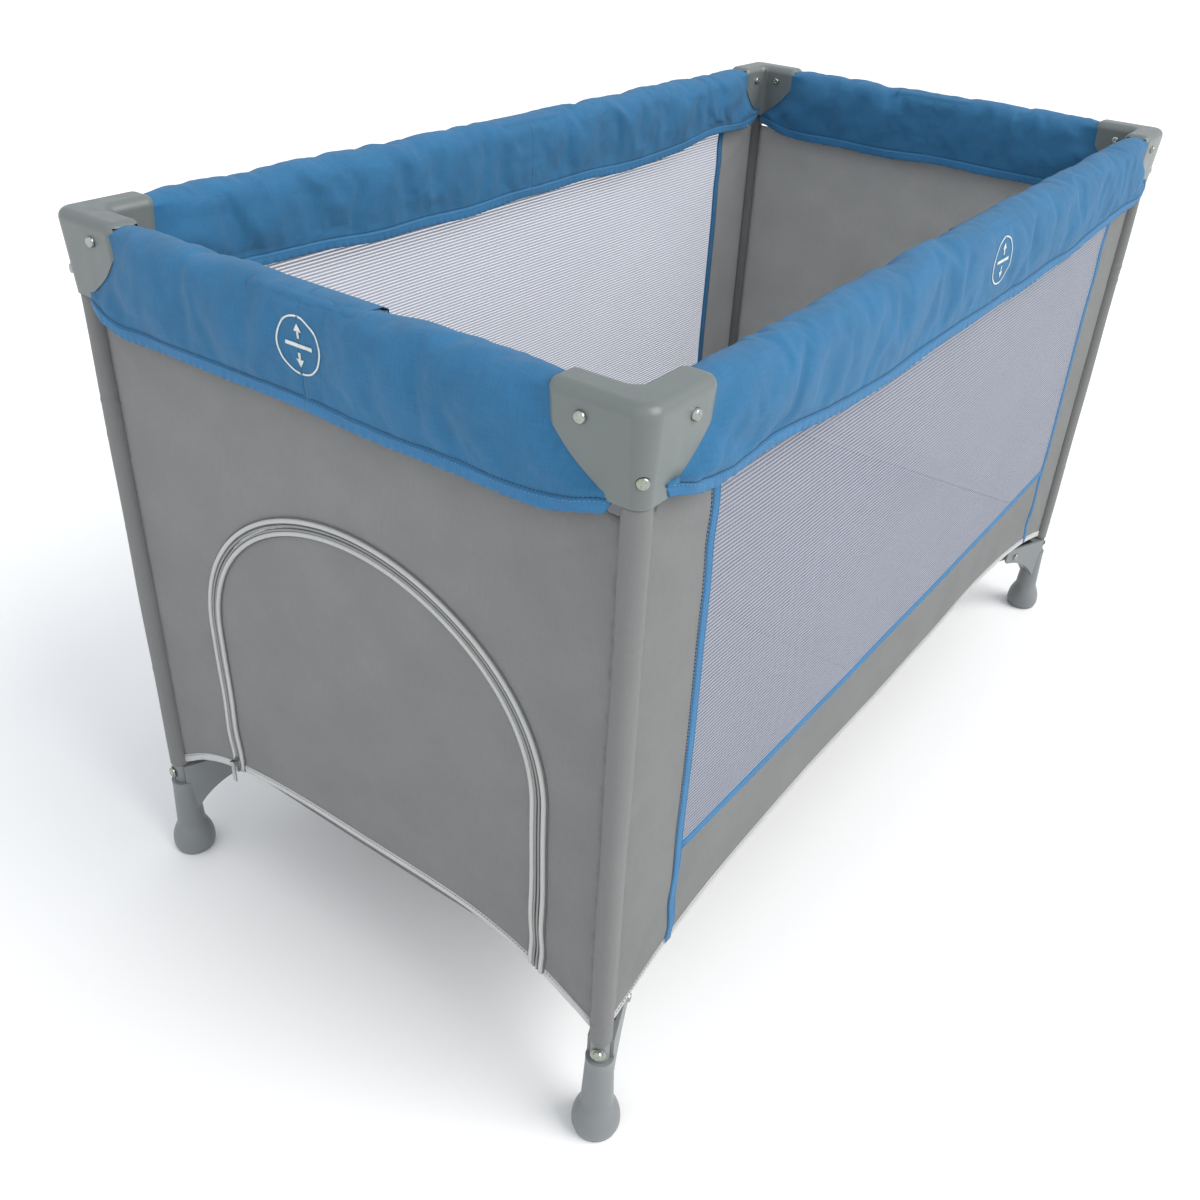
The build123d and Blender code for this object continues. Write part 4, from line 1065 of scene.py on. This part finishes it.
# cloth elbows round the locks, inside the covers, seen when the rails fold
for side in SIDES:
    profile = [(0.0160, 0.700), (0.0163, 0.722), (0.0166, 0.744), (0.0150, 0.7535), (0.0090, 0.7562), (0.0, 0.7568)]
    profile = profile + [(-a, b) for a, b in profile[-2::-1]]
    runs = np.linspace(-0.060, 0.060, 31)
    points, uv = [], []
    for a, b in profile:
        for x in runs:
            ruffle = 0.0004 * math.sin(x * 420 + b * 300) * (1 if abs(a) > 0.01 else 0.4)
            points.append((x, a + math.copysign(ruffle, a) if a else 0.0, b))
            uv.append((x, b + a))
    faces = grid_faces(len(profile), len(runs))
    made = piece(f"elbow_{side}", side_space(side, points), faces, M_BLUE, f"lock_{side}", uv=uv)
    thicken(made, 0.0006)

# ---------------------------------------------------------------- floor cloth and mattress


def squash_quarter(target):
    """Give a quarter of the floor or mattress its own copy of its mesh."""
    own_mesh(target)


def cell_pad(xs, ys, keep):
    """Grid of points over kept cells: indices of used points and the kept quads."""
    index, points, faces = {}, [], []

    def point(i, j):
        if (i, j) not in index:
            index[(i, j)] = len(points)
            points.append((i, j))
        return index[(i, j)]

    for i in range(len(xs) - 1):
        for j in range(len(ys) - 1):
            if keep((xs[i] + xs[i + 1]) / 2, (ys[j] + ys[j + 1]) / 2):
                faces.append((point(i, j), point(i + 1, j), point(i + 1, j + 1), point(i, j + 1)))
    return points, faces


FLOOR_HALF_X, FLOOR_HALF_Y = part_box("floor_panel")[1].x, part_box("floor_panel")[1].y
for corner, (sx, sy) in CORNERS.items():
    xs = np.concatenate([np.linspace(0, 0.028, 4), np.linspace(0.038, FLOOR_HALF_X, 56)])
    ys = np.concatenate([np.linspace(0, 0.011, 3), np.linspace(0.020, FLOOR_HALF_Y, 28)])
    cells, faces = cell_pad(xs, ys, lambda x, y: not (x < 0.028 and y < 0.011)
                            and not (x > FLOOR_HALF_X - 0.032 and y > FLOOR_HALF_Y - 0.032))
    points, uv = [], []
    for i, j in cells:
        x, y = xs[i], ys[j]
        gap = min(FLOOR_HALF_X - x, FLOOR_HALF_Y - y)
        hem = float(hem_height("front" if sy < 0 else "back", sx * x))
        if FLOOR_HALF_X - x < FLOOR_HALF_Y - y:
            hem = float(hem_height("left" if sx < 0 else "right", sy * y))
        rise = float(smooth(1 - gap / 0.012))
        z = FLOOR_TOP - 0.0006 + rise * max(0.0, hem + 0.010 - FLOOR_TOP)
        z += 0.0005 * math.sin(x * 40 + y * 23) * (1 - rise)
        points.append((sx * x, sy * y, z))
        uv.append((sx * x, sy * y))
    if sx * sy < 0:
        faces = [f[::-1] for f in faces]
    made = piece(f"floor_cloth_{corner}", points, faces, M_GREY, f"tube_{corner}", uv=uv)
    if corner == "fl":
        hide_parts("floor_panel")
    thicken(made, 0.0008)
    squash_quarter(made)


def mattress_quarter():
    """One quarter of the mattress: a padded quilt with a seam along its middle and sewn edges."""
    step = 0.0105
    half_x, half_y = MAT_HIGH.x, MAT_HIGH.y
    seam = half_x / 2
    xs = np.concatenate([np.linspace(0, 0.030, 4), np.linspace(0.030, seam, int((seam - 0.030) / step))[1:],
                         np.linspace(seam, half_x, int((half_x - seam) / step))[1:]])
    ys = np.concatenate([np.linspace(0, 0.013, 3), np.linspace(0.013, half_y, int((half_y - 0.013) / step))[1:]])
    cells, quads = cell_pad(xs, ys, lambda x, y: not (x < 0.030 and y < 0.013))
    middle = (MAT_LOW.z + MAT_HIGH.z) / 2
    rest = []
    for i, j in cells:
        x, y = xs[i], ys[j]
        dx, dy = x - (half_x - 0.022), y - (half_y - 0.022)
        if dx > 0 and dy > 0:
            scale = max(dx, dy) / math.hypot(dx, dy)
            x, y = half_x - 0.022 + dx * scale, half_y - 0.022 + dy * scale
        rest.append((x, y))
    rest = np.array(rest)
    edges = {}
    for quad in quads:
        for a, b in zip(quad, quad[1:] + quad[:1]):
            edges[(a, b)] = edges.get((a, b), 0) + 1
    border = [(a, b) for a, b in edges if (b, a) not in edges]
    rim = sorted({i for pair in border for i in pair})
    low_edge = np.full(len(rest), 1e9)
    for i in rim:
        low_edge = np.minimum(low_edge, np.hypot(*(rest - rest[i]).T))
    seam_gap = np.abs(rest[:, 0] - seam)
    quilt = np.minimum(low_edge, seam_gap)
    quilt = np.minimum(quilt, np.abs(rest[:, 1] - half_y * 0.5) + 0.0015)
    puff = 0.0046 + 0.0046 * smooth(quilt / 0.03) ** 0.6
    upper = np.column_stack([rest, middle + puff])
    lower = np.column_stack([rest, middle - puff])
    count = len(rest)
    points = np.vstack([upper, lower])
    faces = [tuple(q) for q in quads] + [tuple(i + count for i in q[::-1]) for q in quads]
    faces += [(b, a, a + count, b + count) for a, b in border]
    hold = np.where(np.concatenate([quilt, quilt]) < 0.004, 1.0, 0.0)
    hold[rim] = 1.0
    hold[[i + count for i in rim]] = 1.0
    normals = np.vstack([np.tile([0, 0, 1.0], (count, 1)), np.tile([0, 0, -1.0], (count, 1))])
    points = simulate(points, faces, hold, -0.02, 1.6, 0.0035, 0.0015, normals)
    points[:, 2] = np.clip(points[:, 2], MAT_LOW.z + 0.0002, MAT_HIGH.z + 0.003)
    uv = np.vstack([rest, rest + [0, 1.0]])
    rim_loop, following = [], dict(border)
    first = border[0][0]
    here = first
    while True:
        rim_loop.append(here)
        here = following[here]
        if here == first:
            break
    return points, faces, uv, rim_loop, count, seam


pad_points, pad_faces, pad_uv, pad_rim, pad_count, pad_seam = mattress_quarter()
for corner, (sx, sy) in CORNERS.items():
    flip = np.array([sx, sy, 1])
    faces = [f[::-1] for f in pad_faces] if sx * sy < 0 else pad_faces
    made = piece(f"mattress_{corner}", pad_points * flip, faces, M_MAT, f"tube_{corner}", uv=pad_uv)
    if corner == "fl":
        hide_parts("mattress")
    rounder = made.modifiers.new("rounder", "SUBSURF")
    rounder.levels = rounder.render_levels = 1
    apply_modifiers(made)
    squash_quarter(made)
    # piping round the outer edges and a sewn line over the middle seam
    rim = [Vector(pad_points[i] * flip) for i in pad_rim]
    outer = [p for p in rim if abs(p.x) > MAT_HIGH.x - 0.024 or abs(p.y) > MAT_HIGH.y - 0.024]
    start = next(i for i, p in enumerate(rim) if p not in outer and rim[(i + 1) % len(rim)] in outer)
    ordered = []
    for k in range(1, len(rim) + 1):
        p = rim[(start + k) % len(rim)]
        if p in outer:
            ordered.append(p)
        elif ordered:
            break
    profile = [(0.0022 * math.cos(t), 0.0022 * math.sin(t)) for t in np.linspace(0, 2 * math.pi, 9)[:-1]]
    points, faces = sweep(ordered, profile, Vector((0, 0, 1)))
    made = piece(f"mattress_piping_{corner}", points, faces, M_PIPE, f"tube_{corner}")
    squash_quarter(made)
    line = [Vector((sx * pad_seam, sy * y, MAT_HIGH.z - 0.0058)) for y in np.linspace(0.012, MAT_HIGH.y - 0.012, 40)]
    points, faces = stitches(line, Vector((0, 0, 1)), pitch=0.0046, length=0.0034, radius=0.0005)
    made = piece(f"mattress_seam_{corner}", points, faces, M_GREY_THREAD, f"tube_{corner}")
    squash_quarter(made)

# ---------------------------------------------------------------- pull strap, zip slider and its tab

strap_half = (STRAP_HIGH.x - STRAP_LOW.x) / 2
radius = (STRAP_HIGH.y - STRAP_LOW.y) / 2
turns = np.linspace(0, 2 * math.pi, 48, endpoint=False)
loop = []
straight_rise = (STRAP_HIGH.z - STRAP_LOW.z) - 2 * radius
for t in turns:
    z = STRAP_LOW.z + radius + radius * math.sin(t) + (straight_rise if math.sin(t) > 0 else 0)
    loop.append((radius * math.cos(t) * (1 + 0.06 * math.sin(2 * t)), z))
points, faces = [], []
widths = np.linspace(-1, 1, 15)
for layer in (0.0, 0.0019):
    for a, z in loop:
        centre_z = (STRAP_LOW.z + STRAP_HIGH.z) / 2
        direction = Vector((0, a, z - centre_z)).normalized()
        for w in widths:
            crown = 0.0003 * (1 - w * w)
            points.append(Vector((w * strap_half, a, z)) - direction * (layer - crown))
count, across = len(loop), len(widths)
for layer in (0, 1):
    for i in range(count):
        for j in range(across - 1):
            a = layer * count * across + i * across + j
            b = layer * count * across + ((i + 1) % count) * across + j
            faces.append((a, b, b + 1, a + 1) if layer == 0 else (a, a + 1, b + 1, b))
for j in (0, across - 1):
    for i in range(count):
        a, b = i * across + j, ((i + 1) % count) * across + j
        c, d = b + count * across, a + count * across
        faces.append((a, d, c, b) if j == 0 else (a, b, c, d))
strap = piece("strap_loop", points, faces, M_WEB, "hub")
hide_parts("pull_strap")
rows = []
for w in (-0.78, 0.78):
    path = [Vector((w * strap_half, a, z)) for a, z in loop]
    outs = [Vector((0, a, z - (STRAP_LOW.z + STRAP_HIGH.z) / 2)).normalized() for a, z in loop]
    rows.append(stitches(path, outs, pitch=0.0034, length=0.0024, radius=0.0004, lift=0.0004))
points, faces = merge(rows)
piece("strap_stitch", points, faces, M_THREAD, "hub")


def copied(name, node, material, body):
    """A CAD shape as a new piece, for a part that has to travel with the cloth."""
    made = bpy.data.objects.new(name, frame["nodes"][node].data.copy())
    scene.collection.objects.link(made)
    made.data.materials.clear()
    made.data.materials.append(material)
    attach(made, body)
    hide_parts(node)
    return made


slider = copied("slider_body", "zip_slider", M_ZIP, "slider")
squash_wall(slider, "left")
tab = copied("slider_tab", "zip_pull", M_ZIP, "pull")
squash_wall(tab, "left")

# ---------------------------------------------------------------- screw and rivet heads

def screw_head(centre, normal, radius=0.0049, height=0.0026):
    """Domed head with a shallow cross recess, as a square grid drawn out to a disc."""
    normal = Vector(normal).normalized()
    side = normal.orthogonal().normalized()
    other = normal.cross(side)
    grid = 25
    index = np.linspace(-1, 1, grid)
    points = []
    for a in index:
        for b in index:
            scale = max(abs(a), abs(b)) / max(math.hypot(a, b), 1e-9)
            x, y = a * scale, b * scale
            r = math.hypot(x, y)
            dome = height + 0.0006 * (1 - r * r)
            if r >= 0.82:
                dome = height * math.sqrt(max(0, 1 - ((r - 0.82) / 0.18) ** 2))
            cross = (abs(x) < 0.14 and abs(y) < 0.52) or (abs(y) < 0.14 and abs(x) < 0.52)
            dome -= 0.0005 if cross else 0
            points.append(centre + side * (x * radius) + other * (y * radius) + normal * dome)
    faces = [(i * grid + j, (i + 1) * grid + j, (i + 1) * grid + j + 1, i * grid + j + 1)
             for i in range(grid - 1) for j in range(grid - 1)]
    return points, faces


def node_solids(node):
    """Centres and boxes of a CAD node's separate solids."""
    mesh = frame["nodes"][node].data
    points = np.array([tuple(v.co) for v in mesh.vertices])
    parent = list(range(len(points)))
    keys = {}
    for i, p in enumerate(np.round(points, 6)):
        keys.setdefault(tuple(p), []).append(i)

    def root(i):
        while parent[i] != i:
            parent[i] = parent[parent[i]]
            i = parent[i]
        return i

    for same in keys.values():
        for i in same[1:]:
            parent[root(i)] = root(same[0])
    for polygon in mesh.polygons:
        first = root(polygon.vertices[0])
        for i in polygon.vertices[1:]:
            parent[root(i)] = first
    groups = {}
    for i in range(len(points)):
        groups.setdefault(root(i), []).append(i)
    return [points[members] for members in groups.values()]


def head_places(node):
    """Each solid's outer end faces, as (centre, outward): both ends of a pin, one end of a screw."""
    found = []
    for points in node_solids(node):
        centre = (points.min(0) + points.max(0)) / 2
        spread = np.linalg.eigh(np.cov((points - points.mean(0)).T))
        axis = spread[1][:, 2]
        along = (points - centre) @ axis
        for sign in (-1, 1):
            end = along.max() if sign > 0 else -along.min()
            tip = points[along * sign > end - 0.0004]
            middle = (tip.min(0) + tip.max(0)) / 2
            width = np.linalg.norm(tip - middle, axis=1).max()
            if width > 0.0034:
                found.append((Vector(middle), Vector(axis * sign)))
    return found


for corner in CORNERS:
    heads = []
    for centre, outward in head_places(f"leg_fasteners_{corner}"):
        heads.append(screw_head(centre - outward * 0.0024, outward))
    points, faces = merge(heads)
    piece(f"screw_heads_{corner}", points, faces, M_SCREW, f"leg_{corner}")

# ---------------------------------------------------------------- finishes of the CAD parts

FINISHES = {"leg_tube": M_TUBE, "bottom_tube": M_TUBE, "rail": M_TUBE, "corner_cap": M_CAP, "foot": M_FOOT,
            "leg_fasteners": M_SCREW, "hub_housing": M_HUB, "hub_rivets": M_SCREW, "lock": M_LOCK,
            "button": M_BUTTON}
for name, node in frame["nodes"].items():
    for prefix, material in FINISHES.items():
        if name.startswith(prefix):
            node.data.materials.clear()
            node.data.materials.append(material)

# ---------------------------------------------------------------- floor, light and camera

ground = bpy.data.meshes.new("studio_floor")
rings, spokes = [0.0, 0.6, 1.2, 2.5, 5, 10, 20, 45], 48
points = [(r * math.cos(2 * math.pi * k / spokes), r * math.sin(2 * math.pi * k / spokes), -0.0002)
          for r in rings for k in range(spokes)]
faces = [(i * spokes + k, (i + 1) * spokes + k, (i + 1) * spokes + (k + 1) % spokes, i * spokes + (k + 1) % spokes)
         for i in range(len(rings) - 1) for k in range(spokes)]
ground.from_pydata(points, [], faces)
studio_floor = bpy.data.objects.new("studio_floor", ground)
scene.collection.objects.link(studio_floor)
g = Graph("studio_floor")
soft = g.noise(g.node("TexCoord").outputs["Object"], 1.2, 2)
g.finish(g.node("BsdfPrincipled", {"Base Color": g.mix(soft, (0.84, 0.84, 0.84, 1), (0.86, 0.86, 0.86, 1)),
                                   "Roughness": 0.9, "Specular IOR Level": 0.1}))
ground.materials.append(bpy.data.materials["studio_floor"])

world = bpy.data.worlds.new("studio")
scene.world = world
world.use_nodes = True
world.node_tree.nodes["Background"].inputs[0].default_value = (0.93, 0.96, 1.0, 1)
world.node_tree.nodes["Background"].inputs[1].default_value = 0.86
sun = bpy.data.objects.new("key", bpy.data.lights.new("key", "SUN"))
sun.data.energy = 2.9
sun.data.angle = math.radians(50)
sun.data.color = (1.0, 0.985, 0.96)
sun.rotation_euler = Vector((0.20, -0.76, 0.62)).to_track_quat("Z", "Y").to_euler()
scene.collection.objects.link(sun)

fill = bpy.data.objects.new("fill", bpy.data.lights.new("fill", "SUN"))
fill.data.energy = 0.7
fill.data.angle = math.radians(90)
fill.data.color = (0.97, 0.98, 1.0)
fill.rotation_euler = Vector((-0.85, 0.10, 0.55)).to_track_quat("Z", "Y").to_euler()
scene.collection.objects.link(fill)

camera = bpy.data.objects.new("camera", bpy.data.cameras.new("camera"))
scene.collection.objects.link(camera)
scene.camera = camera
camera.data.sensor_width = 36
camera.data.lens = 35.786
camera.data.shift_x = -0.0180
camera.data.shift_y = -0.0232
camera.data.clip_end = 200
yaw, pitch, roll = math.radians(56.2673), math.radians(-31.9992), math.radians(3.5677)
ahead = Vector((math.sin(yaw) * math.cos(pitch), math.cos(yaw) * math.cos(pitch), math.sin(pitch)))
right = ahead.cross(Vector((0, 0, 1))).normalized()
up = right.cross(ahead)
camera_right = right * math.cos(roll) + up * math.sin(roll)
camera_up = up * math.cos(roll) - right * math.sin(roll)
turn = np.column_stack([camera_right, camera_up, -ahead])
camera.matrix_world = Matrix(((*turn[0], -1.1787), (*turn[1], -0.6805), (*turn[2], 1.0641), (0, 0, 0, 1)))
